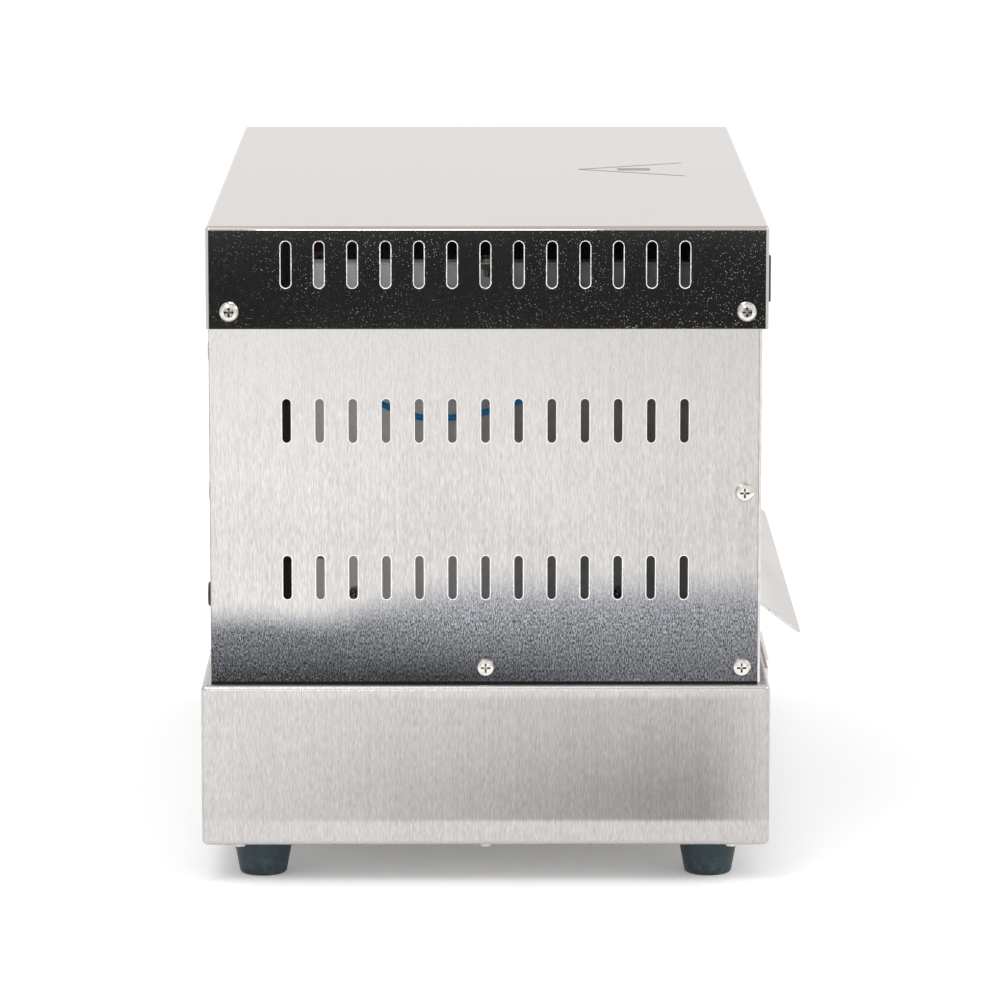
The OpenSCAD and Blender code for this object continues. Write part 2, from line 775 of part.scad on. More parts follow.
// folded door frame with a window, four edge returns and the pull lip along its bottom edge
module door_frame() {
    back_y = -body_y + door_depth;
    color(steel) {
        difference() {
            block([-door_x, -body_y, door_bottom_z], [door_x, back_y, door_top_z]);
            block([-door_x + sheet, -body_y + sheet, door_bottom_z + sheet],
                [door_x - sheet, back_y + 1, door_top_z - sheet]);
            translate([0, -body_y - 1, 0]) rotate([90, 0, 0]) mirror([0, 0, 1]) linear_extrude(5)
                rounded_rect([-window_w / 2, window_z0], [window_w / 2, window_z1], 5);
            both_ends() rod_x(-door_x - 1, -door_x + 3, hinge_y, hinge_z, pin_r + running_gap);
        }
        for (x = retainer_screw_x, z = [window_z0 - 14, window_z1 + 14])
            difference() {
                rod_y(-body_y + sheet, -body_y + sheet + glass_t, x, z, 3.5);
                rod_y(-body_y + sheet, -body_y + sheet + glass_t + 1, x, z, 1.5);
            }
        translate([0, lip_root_in - body_y, lip_root_z + lip_root_in * tan(lip_angle)])
            rotate([lip_angle, 0, 0]) mirror([0, 1, 0])
                linear_extrude(lip_t) rounded_lip(lip_l + lip_root_in / cos(lip_angle));
    }
}

// the lip's outline, its root along X and its free corners rounded
module rounded_lip(length) {
    r = 3;
    translate([-door_x, 0]) square([door_w, length - r]);
    translate([-door_x + r, 0]) square([door_w - 2 * r, length]);
    for (x = [-door_x + r, door_x - r]) translate([x, length - r]) circle(r);
}

module door_glass() {
    color("lightblue", 0.4)
        block([-window_w / 2 - 8, -body_y + sheet, window_z0 - 8],
            [window_w / 2 + 8, -body_y + sheet + glass_t, window_z1 + 8]);
}

module door_retainer() {
    y0 = -body_y + sheet + glass_t;
    color("silver") {
        difference() {
            block([-door_x + 12, y0, window_z0 - 20], [door_x - 12, y0 + sheet, window_z1 + 20]);
            block([-window_w / 2 + 4, y0 - 1, window_z0 + 4], [window_w / 2 - 4, y0 + 3, window_z1 - 4]);
            for (x = retainer_screw_x, z = [window_z0 - 14, window_z1 + 14]) rod_y(y0 - 1, y0 + 3, x, z, 1.5);
        }
        for (x = retainer_screw_x, z = [window_z0 - 14, window_z1 + 14])
            translate([x, y0 + sheet, z]) rotate([-90, 0, 0]) pan_screw(2.8, 1.8, 1.5, 4);
    }
}

module door_bushes() {
    color("goldenrod") both_ends() difference() {
        rod_x(-door_x + sheet, -door_x + 7, hinge_y, hinge_z, 4.9);
        rod_x(-door_x, -door_x + 8, hinge_y, hinge_z, pin_r + running_gap);
    }
}

// ---------- grease drawer ----------

module grease_drawer() {
    color("silver") difference() {
        union() {
            block([-pan_x, drawer_face_y, pan_z0], [pan_x, pan_back_y, pan_z1]);
            block([-pan_x - 6.5, drawer_face_y + 4, pan_z1 - sheet], [pan_x + 6.5, pan_back_y, pan_z1]);
        }
        block([-pan_x + sheet, drawer_face_y + sheet, pan_z0 + sheet],
            [pan_x - sheet, pan_back_y - sheet, pan_z1 + 1]);
    }
}

// overlaid drawer front with a short bent pull
module drawer_front() {
    low_z = pan_z0 - 8;
    high_z = pan_z1 + 6;
    color(steel) {
        block([-drawer_hole_x - 7, drawer_face_y - drawer_face_t, low_z],
            [drawer_hole_x + 7, drawer_face_y, high_z]);
        translate([-40, drawer_face_y - drawer_face_t, (low_z + high_z) / 2 + 6])
            rotate([90, 0, 90]) linear_extrude(80)
            polygon([[0, 8], [0, 0], [-7, -5], [-7.6, -4.2], [-1, 0.6], [-1, 8]]);
    }
}

module drawer_rails() {
    color("silver") both_ends() {
        block([drawer_hole_x + 0.5, -base_y + 3, pan_z1 - 12],
            [drawer_hole_x + 1.5, pan_back_y + 6, deck_z - sheet]);
        block([pan_x + 1.5, -base_y + 3, pan_z1 - 2.1], [drawer_hole_x + 0.5, pan_back_y + 6, pan_z1 - 1.1]);
        block([pan_x + 1.5, pan_back_y + 3, pan_z1 - 2.1], [drawer_hole_x + 0.5, pan_back_y + 6, pan_z1 + 4]);
    }
}

// ---------- spit and drive ----------

spit_left_x = -chamber_x + 2;
socket_x = chamber_x - 14;

module spit_rod() {
    color("silver") {
        rod_x(spit_left_x, spit_left_x + 8, spit_y, spit_z, 3.5);
        rod_x(spit_left_x + 8, spit_left_x + 11, spit_y, spit_z, 7);
        translate([spit_left_x + 11, spit_y - spit_side / 2, spit_z - spit_side / 2])
            cube([socket_x + 10 - spit_left_x - 11, spit_side, spit_side]);
    }
}

// drive socket: a square mouth for the rod, a round journal through the chamber wall, then the shaft
module drive_socket() {
    color("darkgray") difference() {
        union() {
            rod_x(socket_x, chamber_x + 7, spit_y, spit_z, 8);
            rod_x(chamber_x + 7, bracket_x + 6, spit_y, spit_z, shaft_r);
        }
        translate([socket_x - 1, spit_y - spit_side / 2 - 0.2, spit_z - spit_side / 2 - 0.2])
            cube([12, spit_side + 0.4, spit_side + 0.4]);
    }
}

module drive_bush() {
    color("goldenrod") difference() {
        union() {
            rod_x(chamber_x - 2, chamber_x + 6, spit_y, spit_z, 12);
            rod_x(chamber_x + sheet, chamber_x + 3, spit_y, spit_z, 16);
        }
        rod_x(chamber_x - 3, chamber_x + 7, spit_y, spit_z, 8 + running_gap);
    }
}

module drive_gear() {
    color("goldenrod") difference() {
        union() {
            translate([gear_x, spit_y, spit_z]) rotate([0, 90, 0]) linear_extrude(gear_t)
                polygon(gear_outline(gear_teeth));
            rod_x(gear_x - 4, gear_x + gear_t + 2, spit_y, spit_z, 9);
        }
        rod_x(gear_x - 5, gear_x + gear_t + 3, spit_y, spit_z, shaft_r);
        for (a = [30 : 60 : 330])
            rod_x(gear_x - 1, gear_x + gear_t + 1, spit_y + 21 * cos(a), spit_z + 21 * sin(a), 6);
    }
}

// pinion under the gear, a gap of it facing the gear's tooth, on the motor's shaft
module motor_pinion() {
    color("silver") {
        translate([gear_x - 1, spit_y, spit_z - gear_gap]) rotate([0, 90, 0]) rotate([0, 0, 180 / pinion_teeth])
            linear_extrude(gear_t + 2) polygon(gear_outline(pinion_teeth));
        rod_x(gear_x - 4, bracket_x + 10, spit_y, spit_z - gear_gap, pinion_shaft_r);
    }
}

module motor_bracket() {
    post_places = [[-48, 40], [48, 40], [-48, -72], [48, -72]];
    color("silver") {
        difference() {
            block([bracket_x, spit_y - 54, spit_z - 78], [bracket_x + 2, spit_y + 54, spit_z + 46]);
            rod_x(bracket_x - 1, bracket_x + 3, spit_y, spit_z, shaft_r + running_gap);
            rod_x(bracket_x - 1, bracket_x + 3, spit_y, spit_z - gear_gap, pinion_shaft_r + running_gap);
        }
        for (place = post_places)
            rod_x(chamber_x + sheet, bracket_x, spit_y + place.x, spit_z + place.y, 4);
    }
}

module motor() {
    color(dark_steel) difference() {
        union() {
            rod_x(bracket_x + 2, motor_x, spit_y, spit_z - gear_gap, motor_r);
            block([bracket_x + 2, spit_y - 38, spit_z - gear_gap - 7],
                [bracket_x + 4, spit_y + 38, spit_z - gear_gap + 7]);
            for (side = [-1, 1])
                rod_x(bracket_x + 4, bracket_x + 7, spit_y + side * 32, spit_z - gear_gap, 4);
        }
        rod_x(bracket_x + 1, bracket_x + 12, spit_y, spit_z - gear_gap, pinion_shaft_r + running_gap);
    }
}

// meat fork facing +X: a hub on the square rod, a cross bar and two pointed tines, with a tapped hole on top
module fork() {
    hub_r = 10;
    tine_gap = 24;
    color("silver") difference() {
        union() {
            rod_x(-8, 8, 0, 0, hub_r);
            block([2, -tine_gap, -3], [7, tine_gap, 3]);
            for (side = [-1, 1]) {
                rod_x(2, tine_l, side * tine_gap, 0, 3);
                translate([tine_l, side * tine_gap, 0]) rotate([0, 90, 0]) cylinder(h = 10, r1 = 3, r2 = 0.4);
            }
        }
        translate([-9, -spit_side / 2 - 0.15, -spit_side / 2 - 0.15])
            cube([18, spit_side + 0.3, spit_side + 0.3]);
        translate([-3, 0, 0]) cylinder(h = hub_r + 1, r = 2.55);
    }
}

// thumb screw with a round winged head, over the fork's tapped hole
module thumb_screw() {
    color("dimgray") {
        translate([0, 0, spit_side / 2 + 0.3]) cylinder(h = 12, r = 2.5);
        translate([0, 0, 13]) cylinder(h = 3, r = 4.5);
        block([-1.5, -8, 15], [1.5, 8, 24]);
        for (side = [-1, 1]) translate([-1.5, side * 8, 19.5]) rotate([0, 90, 0]) cylinder(h = 3, r = 4.5);
    }
}

module at_left_fork() {
    translate([-fork_x, spit_y, spit_z]) children();
}

module at_right_fork() {
    translate([fork_x, spit_y, spit_z]) mirror([1, 0, 0]) children();
}

module left_fork() {
    at_left_fork() fork();
}

module right_fork() {
    at_right_fork() fork();
}

module left_thumb_screw() {
    at_left_fork() translate([-3, 0, 0]) thumb_screw();
}

module right_thumb_screw() {
    at_right_fork() translate([-3, 0, 0]) thumb_screw();
}

// ---------- controls and electrics ----------

// body of a rotary control behind the recess's floor, with a threaded neck
module control_body(x, back_y) {
    difference() {
        union() {
            block([x - 18, recess_floor_y + 2, control_z - 13], [x + 18, back_y, control_z + 15]);
            rod_y(recess_floor_y - sheet, recess_floor_y + 2, x, control_z, neck_r);
            rod_y(recess_floor_y, recess_floor_y + 2, x, control_z, 7);
        }
        rod_y(recess_floor_y - 2, recess_floor_y + 14, x, control_z, 3 + running_gap);
    }
}

thermostat_back_y = -98;
timer_back_y = -97;

module thermostat_body() {
    color("tan") control_body(thermostat_knob_x, thermostat_back_y);
}

module timer_body() {
    color("ghostwhite") control_body(timer_knob_x, timer_back_y);
}

// knob: a skirted, fluted grip on a shaft that turns in the control's neck
module knob(x) {
    face_y = recess_floor_y - sheet;
    color("black") difference() {
        union() {
            rod_y(face_y - 4, face_y - 0.5, x, control_z, knob_r);
            rod_y(face_y - knob_l, face_y - 4, x, control_z, grip_r);
            block([x - 3, face_y - knob_l, control_z - grip_r], [x + 3, face_y - 4, control_z + grip_r]);
        }
        for (a = [45 : 45 : 315])
            if (a != 180)
                rod_y(face_y - knob_l - 1, face_y - 4,
                    x + (grip_r + 1.5) * sin(a), control_z + (grip_r + 1.5) * cos(a), flute_r);
    }
    color("silver") rod_y(face_y - 6, face_y + 12, x, control_z, 3);
}

module thermostat_knob() {
    knob(thermostat_knob_x);
}

module timer_knob() {
    knob(timer_knob_x);
}

// sensing bulb along the rear wall, with its capillary led through the wall and over the insulation
module thermostat_bulb() {
    bulb_z = deck_z + 112;
    capillary = [
        [112, 89, bulb_z], [112, 96, bulb_z], [112, 108, bulb_z], [112, 117, bulb_z + 6], [112, 118, bulb_z + 24],
        [114, 118, bulb_z + 70], [118, 114, ceiling_z + 14], [124, 98, ceiling_z + 19.5],
        [140, 60, ceiling_z + 19.5], [160, 0, ceiling_z + 19.5], [166, -50, ceiling_z + 19.5],
        [166, -90, ceiling_z + 19.5], [166, thermostat_back_y, ceiling_z + 19.5]
    ];
    color("peru") {
        rod_x(30, 108, 89, bulb_z, 3);
        rod_x(108, 112, 89, bulb_z, 1.4);
        swept_tube(capillary, 0.8, [1, 0, 0]);
    }
}

// snap-in switch bodies: a rounded bezel, a box behind it, a pocket and two pin holes for the rocker
module switch_bodies() {
    half_w = rocker_w / 2 + 0.5;
    half_h = rocker_h / 2 + 0.2;
    color("black") for (x = [power_switch_x, lamp_switch_x]) translate([x, 0, switch_z]) difference() {
        union() {
            translate([0, -cover_front, 0]) rotate([90, 0, 0]) linear_extrude(1.6)
                rounded_rect([-switch_half - 2.5, -switch_half - 1], [switch_half + 2.5, switch_half + 1], 2);
            block([-switch_half, -cover_front, -switch_half], [switch_half, switch_tab_y, switch_half]);
            for (side = [-switch_tab_x, switch_tab_x])
                block([side - 0.4, switch_tab_y, -2.4], [side + 0.4, switch_tab_y + 7, 2.4]);
        }
        block([-half_w, -cover_front - 2, -half_h], [half_w, rocker_axis_y + 7, half_h]);
        rocker_pin(rocker_pin_r + running_gap, switch_half + 0.05);
    }
}
switch_tab_x = 7;
function switch_span(x) = [x - switch_half, x + switch_half];

// upright pin that a rocker turns on
module rocker_pin(r, half_l) {
    translate([0, rocker_axis_y, -half_l]) cylinder(h = 2 * half_l, r = r);
}

// rocker cap with a dished face on its pin, tilted to one side
module rocker(x, tilt) {
    half = rocker_w / 2;
    translate([x, 0, switch_z]) {
        translate([0, rocker_axis_y, -rocker_h / 2]) rotate([0, 0, tilt])
            linear_extrude(rocker_h) difference() {
                translate([-half, -rocker_rise]) square([rocker_w, rocker_rise + 3]);
                translate([0, -32.4]) circle(30);
                for (side = [-1, 1]) translate([side * (half + 4), 5]) circle(5);
            }
        rocker_pin(rocker_pin_r, switch_half - 0.1);
    }
}

module power_rocker() {
    color("black") rocker(power_switch_x, rocker_tilt);
}

module lamp_rocker() {
    color("black") rocker(lamp_switch_x, -rocker_tilt);
}

module pilot_lamps() {
    color("orangered") for (place = pilot_places()) translate(place) {
        rod_y(-1.2, 0, 0, 0, 6);
        rod_y(-2.2, -1.2, 0, 0, pilot_r + 0.1);
        rod_y(0, 22, 0, 0, pilot_r);
    }
}

module terminal_block() {
    color("ivory") difference() {
        block([-236, 96, deck_z], [-206, 124, deck_z + 18]);
        for (x = [-231, -221, -211], y = [103, 117])
            translate([x, y, deck_z + 8]) cylinder(h = 12, r = 2.6);
    }
}

stud_x = heater_end_x - 9.6;
clamp_z = deck_z + 10.5;

blue_route = [
    [stud_x, -48, top_heater_z], [-216, -48, top_heater_z - 1], [-219, -46, top_heater_z - 8], [-219, -30, 250],
    [-219, -17, 243.2], [-219, 0, 237.5], [-219, 20, 234.4], [-219, 34, 235], [-219, 50, 240.3],
    [-219, 68, 250], [-219, 84, 256], [-219, 100, 250], [-219, 110, 225], [-219, 112, 180], [-219, 109, 138],
    [-221, 104, deck_z + 24], [-221, 103, clamp_z]
];
blue_back_route = [
    [stud_x, back_heater_y, back_heater_z - 15], [-217.5, 86, 164], [-219, 91, 158], [-219, 92.5, 145],
    [-217, 94, 130], [-212.5, 100, deck_z + 23], [-211, 103, deck_z + 18], [-211, 103, clamp_z]
];
brown_route = [
    [power_switch_x - switch_tab_x, switch_tab_y + 7.2, switch_z],
    [power_switch_x - switch_tab_x, -107, 304], [-190, -107, 315], [-202, -107, 316], [-213, -107, 308],
    [-222, -105, 288], [-224, -92, 267], [-224, -60, 262], [-224, 0, 261], [-224, 46, 263], [-220, 64, 280],
    [-213, 76, 308], [-212, 84, 318.5], [-216, 93, 308], [-223, 108, 280], [-227, 118, 240],
    [-231, 121, 200], [-231, 119, 150], [-231, 117, deck_z + 26], [-231, 117, clamp_z]
];
brown_rear_route = [
    [stud_x, 58, top_heater_z], [-217, 59, top_heater_z], [-223, 68, 269], [-228, 84, 260], [-230, 92, 246],
    [-230, 92.5, 200], [-230, 92.5, 150], [-228, 94, 134], [-224, 104, deck_z + 24],
    [-221, 114, deck_z + 24], [-221, 117, deck_z + 19], [-221, 117, clamp_z]
];

module blue_wires() {
    color("dodgerblue") {
        swept_tube(blue_route, 1.7, [0, 0, 1]);
        swept_tube(blue_back_route, 1.7, [0, 1, 0]);
    }
}

module brown_wires() {
    color("saddlebrown") {
        swept_tube(brown_route, 1.5, [1, 0, 0]);
        swept_tube(brown_rear_route, 1.5, [0, 0, 1]);
    }
}

module cord_gland() {
    hex_end = base_y + 7;
    color("dimgray") difference() {
        union() {
            rod_y(base_y - 12, hex_end, gland_x, gland_z, 8);
            translate([gland_x, base_y, gland_z]) rotate([-90, 0, 0])
                cylinder(h = 7, r = gland_hex_r, $fn = 6);
            translate([gland_x, hex_end, gland_z]) rotate([-90, 0, 0])
                cylinder(h = gland_end_y - hex_end, r1 = 10, r2 = 7);
            translate([gland_x, base_y - 6, gland_z]) rotate([-90, 0, 0])
                cylinder(h = 5, r = gland_hex_r, $fn = 6);
        }
        rod_y(base_y - 13, gland_end_y + 1, gland_x, gland_z, gland_bore_r);
    }
}

base_shell();
base_plate();
feet();
base_screws();
wall_bolts();
left_side_panel();
right_side_panel();
rear_panel();
front_frame();
top_cover();
panel_screws();
chamber_left_wall();
chamber_right_wall();
chamber_rear_wall();
chamber_ceiling();
chamber_floor();
heat_reflector();
top_heaters();
back_heater();
heater_insulators();
heater_terminals();
heater_clips();
spit_support();
drive_bush();
motor_bracket();
motor();
thermostat_body();
thermostat_bulb();
timer_body();
switch_bodies();
pilot_lamps();
lamp_holder();
lamp_bulb();
lamp_glass();
terminal_block();
blue_wires();
brown_wires();
cord_gland();
insulation();
hinge_pins();
door_magnet();
drawer_rails();
door_frame();
door_glass();
door_retainer();
door_bushes();
grease_drawer();
drawer_front();
spit_rod();
drive_socket();
drive_gear();
left_fork();
right_fork();
left_thumb_screw();
right_thumb_screw();
motor_pinion();
thermostat_knob();
timer_knob();
power_rocker();
lamp_rocker();
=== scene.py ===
"""Looks of a countertop rotisserie oven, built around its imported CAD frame. Lengths are in metres."""
import math

import bmesh
import bpy
from mathutils import Matrix, Vector


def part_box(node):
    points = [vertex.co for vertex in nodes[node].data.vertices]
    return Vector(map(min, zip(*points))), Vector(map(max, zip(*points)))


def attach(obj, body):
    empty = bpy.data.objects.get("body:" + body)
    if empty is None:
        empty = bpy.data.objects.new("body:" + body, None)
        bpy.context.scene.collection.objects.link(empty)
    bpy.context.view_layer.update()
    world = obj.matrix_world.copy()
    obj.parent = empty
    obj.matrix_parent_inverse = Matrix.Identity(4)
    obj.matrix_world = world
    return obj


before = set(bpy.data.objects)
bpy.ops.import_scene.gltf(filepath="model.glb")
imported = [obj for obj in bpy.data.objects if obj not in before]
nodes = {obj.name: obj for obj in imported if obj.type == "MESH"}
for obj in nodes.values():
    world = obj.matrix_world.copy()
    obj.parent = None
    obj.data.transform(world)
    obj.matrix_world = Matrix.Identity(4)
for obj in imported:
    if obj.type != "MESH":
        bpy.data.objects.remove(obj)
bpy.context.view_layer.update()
scene = bpy.context.scene
MM = 0.001


# ---------- places taken from the frame ----------

def centre(node):
    low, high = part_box(node)
    return (low + high) / 2


base_low, base_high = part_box("base_shell")
panel_low, panel_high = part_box("left_side_panel")
cover_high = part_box("top_cover")[1]
glass_low, glass_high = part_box("door_glass")
retainer_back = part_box("door_retainer")[1].y
block_low, block_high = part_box("terminal_block")


# ---------- camera ----------

CAMERA_LENS = 208.3
CAMERA_TILT = 9.4
CAMERA_TURN = 0.19
CAMERA_FROM_END = 2871 * MM
CAMERA_FRONT_OFFSET = 2.25 * MM
CAMERA_ABOVE_COVER = 337.3 * MM


def add_camera():
    """A long lens that looks at the left end, a little from above."""
    data = bpy.data.cameras.new("photo_camera")
    data.sensor_width = 36.0
    data.lens = CAMERA_LENS
    camera = bpy.data.objects.new("photo_camera", data)
    scene.collection.objects.link(camera)
    camera.location = (base_low.x - CAMERA_FROM_END, CAMERA_FRONT_OFFSET, cover_high.z + CAMERA_ABOVE_COVER)
    camera.rotation_euler = (math.radians(90 - CAMERA_TILT), 0, math.radians(-90 - CAMERA_TURN))
    scene.camera = camera


add_camera()


# ---------- material building blocks ----------

class Finish:
    """A material with a Principled surface, and short calls for the nodes that feed it."""

    def __init__(self, name, **sockets):
        self.material = bpy.data.materials.new(name)
        self.material.use_nodes = True
        self.tree = self.material.node_tree
        self.surface = self.tree.nodes["Principled BSDF"]
        self.position = self.add("ShaderNodeTexCoord").outputs["Object"]
        for name, value in sockets.items():
            self.set(name.replace("_", " "), value)

    def add(self, kind, **settings):
        node = self.tree.nodes.new(kind)
        for name, value in settings.items():
            setattr(node, name, value)
        return node

    def set(self, socket, value):
        """Sets a number or colour on the surface's own socket, or links a node's output to it."""
        target = self.surface.inputs[socket]
        if isinstance(value, bpy.types.NodeSocket):
            self.tree.links.new(value, target)
        else:
            target.default_value = value

    def feed(self, node, index, value):
        if isinstance(value, bpy.types.NodeSocket):
            self.tree.links.new(value, node.inputs[index])
        else:
            node.inputs[index].default_value = value

    def noise(self, per_metre, detail=2.0, roughness=0.5):
        """Noise with its own number of features per metre along X, Y and Z."""
        mapping = self.add("ShaderNodeMapping")
        self.tree.links.new(self.position, mapping.inputs["Vector"])
        mapping.inputs["Scale"].default_value = per_metre
        texture = self.add("ShaderNodeTexNoise")
        texture.inputs["Scale"].default_value = 1.0
        texture.inputs["Detail"].default_value = detail
        texture.inputs["Roughness"].default_value = roughness
        self.tree.links.new(mapping.outputs[0], texture.inputs["Vector"])
        return texture.outputs["Fac"]

    def axis(self, name):
        split = self.add("ShaderNodeSeparateXYZ")
        self.tree.links.new(self.position, split.inputs[0])
        return split.outputs[name]

    def math(self, operation, a, b=0.0):
        node = self.add("ShaderNodeMath", operation=operation)
        self.feed(node, 0, a)
        self.feed(node, 1, b)
        return node.outputs[0]

    def remap(self, value, low, high, to_low=0.0, to_high=1.0, smooth=False):
        node = self.add("ShaderNodeMapRange")
        node.interpolation_type = "SMOOTHSTEP" if smooth else "LINEAR"
        for index, number in enumerate((value, low, high, to_low, to_high)):
            self.feed(node, index, number)
        return node.outputs[0]

    def mix(self, factor, a, b):
        node = self.add("ShaderNodeMix", data_type="RGBA")
        self.feed(node, 0, factor)
        self.feed(node, 6, (*a, 1.0) if isinstance(a, tuple) else a)
        self.feed(node, 7, (*b, 1.0) if isinstance(b, tuple) else b)
        return node.outputs[2]

    def cells(self, per_metre):
        """Distance to the nearest of many scattered points, in units of their spacing."""
        texture = self.add("ShaderNodeTexVoronoi")
        texture.inputs["Scale"].default_value = per_metre
        self.tree.links.new(self.position, texture.inputs["Vector"])
        return texture.outputs["Distance"]

    def multiply(self, a, b):
        """Multiplies two colours."""
        node = self.add("ShaderNodeMix", data_type="RGBA", blend_type="MULTIPLY")
        for index, value in ((0, 1.0), (6, a), (7, b)):
            self.feed(node, index, value)
        return node.outputs[2]

    def bump(self, height, strength, distance):
        node = self.add("ShaderNodeBump")
        node.inputs["Strength"].default_value = strength
        node.inputs["Distance"].default_value = distance
        self.tree.links.new(height, node.inputs["Height"])
        self.set("Normal", node.outputs[0])


def shade(colour, factor):
    """Scales a colour's brightness."""
    return tuple(channel * factor for channel in colour)


# ---------- sheet-steel materials ----------

STAINLESS = (0.66, 0.633, 0.618)
BRUSHED_ROUGHNESS = (0.24, 0.38)


def brushed_steel(name, tint=STAINLESS, contrast=0.46):
    """Hairline stainless: short and long upright streaks, faint handling marks, uneven gloss."""
    f = Finish(name, Metallic=1.0, Anisotropic=0.6)
    short = f.remap(f.noise((2300.0, 2300.0, 230.0), 1.0), 0.3, 0.7)
    long = f.remap(f.noise((800.0, 800.0, 9.0), 2.0), 0.3, 0.7)
    marks = f.remap(f.noise((14.0, 14.0, 9.0), 3.0), 0.3, 0.7)
    streaks = f.math("ADD", f.math("MULTIPLY", short, 0.75), f.math("MULTIPLY", long, 0.25))
    soiled = f.math("ADD", f.math("MULTIPLY", streaks, 0.85), f.math("MULTIPLY", marks, 0.15))
    f.colour = f.mix(soiled, shade(tint, 1.0 - contrast / 2), shade(tint, 1.0 + contrast / 2))
    f.set("Base Color", f.colour)
    smooth, dull = BRUSHED_ROUGHNESS
    f.set("Roughness", f.remap(soiled, 0.1, 0.9, dull, smooth))
    tangent = f.add("ShaderNodeTangent", direction_type="RADIAL", axis="Z")
    f.set("Tangent", tangent.outputs[0])
    f.bump(streaks, 0.08, 0.03 * MM)
    return f


def darken(f, factor):
    """Multiplies the finish's colour by a grey factor between 0 and 1."""
    grey = f.mix(factor, (0.0, 0.0, 0.0), (1.0, 1.0, 1.0))
    f.colour = f.multiply(f.colour, grey)
    f.set("Base Color", f.colour)


SLOT_PITCH = 16.67 * MM
SLOT_ROW_HALF = 6.5 * SLOT_PITCH
PANEL_SLOT_HALVES = (11.2 * MM, 2.2 * MM)
PANEL_ROWS_UP = (54.5 * MM, 134.5 * MM)
COVER_SLOT_HALVES = (11.7 * MM, 2.5 * MM)
COVER_ROW_DOWN = 19.3 * MM


def slot_rim_highlight_mask(f, row_z, slot_halves, reach):
    """Mask for a painted highlight: 1 within reach of the slots' edges in one row of an end wall, with a
    ragged edge; 0 elsewhere.
    """
    half_length, half_width = slot_halves
    y = f.axis("Y")
    phase = f.math("MODULO", f.math("ADD", y, SLOT_ROW_HALF), SLOT_PITCH)
    across = f.math("ABSOLUTE", f.math("SUBTRACT", phase, SLOT_PITCH / 2))
    up = f.math("ABSOLUTE", f.math("SUBTRACT", f.axis("Z"), row_z))
    past_end = f.math("MAXIMUM", f.math("SUBTRACT", up, half_length - half_width), 0.0)
    squares = f.math("ADD", f.math("POWER", across, 2.0), f.math("POWER", past_end, 2.0))
    gap = f.math("SUBTRACT", f.math("SQRT", squares), half_width)
    ragged = f.math("MULTIPLY", f.noise((900.0, 900.0, 900.0), 2.0), reach * 1.6)
    near = f.math("LESS_THAN", gap, f.math("ADD", ragged, reach * 0.2))
    in_row = f.math("LESS_THAN", f.math("ABSOLUTE", y), SLOT_ROW_HALF)
    return f.math("MULTIPLY", near, in_row)


# Bluish tint of the painted dark reflection along a side panel's foot.
PAINTED_FOOT_REFLECTION_TINT = (0.93, 1.0, 1.10)
PANEL_BEND = 1.6 * MM


def painted_dark_foot_reflection(f, height, front):
    """Mask of the painted dark reflection along a side panel's foot: 1 inside it, its wavering top edge
    rising towards the front.
    """
    waver = f.math("MULTIPLY", f.math("SUBTRACT", f.noise((10.0, 14.0, 10.0), 3.0), 0.5), 10 * MM)
    edge = f.math("ADD", f.math("MULTIPLY", front, 14 * MM), 33 * MM)
    over = f.math("SUBTRACT", f.math("ADD", height, waver), edge)
    reach = f.math("ADD", f.math("MULTIPLY", front, 6 * MM), 9 * MM)
    return f.remap(f.math("DIVIDE", over, reach), 1.0, -1.0, smooth=True)


def painted_foot_reflection_level(f, height, front):
    """Brightness inside the painted dark reflection: it falls towards the ledge, and carries painted
    speckle and painted glints.
    """
    far_front = f.remap(f.axis("Y"), 30 * MM, -90 * MM, smooth=True)
    upper = f.remap(front, 0.0, 1.0, 0.32, 0.43)
    lower = f.remap(far_front, 0.0, 1.0, 0.075, 0.22)
    drop = f.math("MULTIPLY", f.remap(height, 34 * MM, 4 * MM), f.math("SUBTRACT", upper, lower))
    level = f.math("SUBTRACT", upper, drop)
    # Painted speckle and painted glints inside the dark reflection.
    sparkle = f.remap(f.noise((1900.0, 1900.0, 700.0), 1.0), 0.34, 0.70, 0.25, 2.05)
    glints = f.math("LESS_THAN", f.cells(900.0), f.remap(front, 0.0, 1.0, 0.24, 0.12))
    lit = f.math("ADD", f.math("MULTIPLY", level, sparkle), f.math("MULTIPLY", glints, 0.24))
    return f.math("MINIMUM", lit, 1.0)


def bend_shade(f, outward):
    """Painted shade: a darker line where a side panel turns its front and rear corners."""
    width = -panel_low.x
    near_end = f.remap(outward, width - PANEL_BEND, width - 1.0 * MM)
    y = f.math("ABSOLUTE", f.axis("Y"))
    near_corner = f.remap(y, panel_high.y - 0.6 * MM, panel_high.y - 0.2 * MM)
    return f.remap(f.math("MULTIPLY", near_end, near_corner), 0.0, 1.0, 1.0, 0.35)


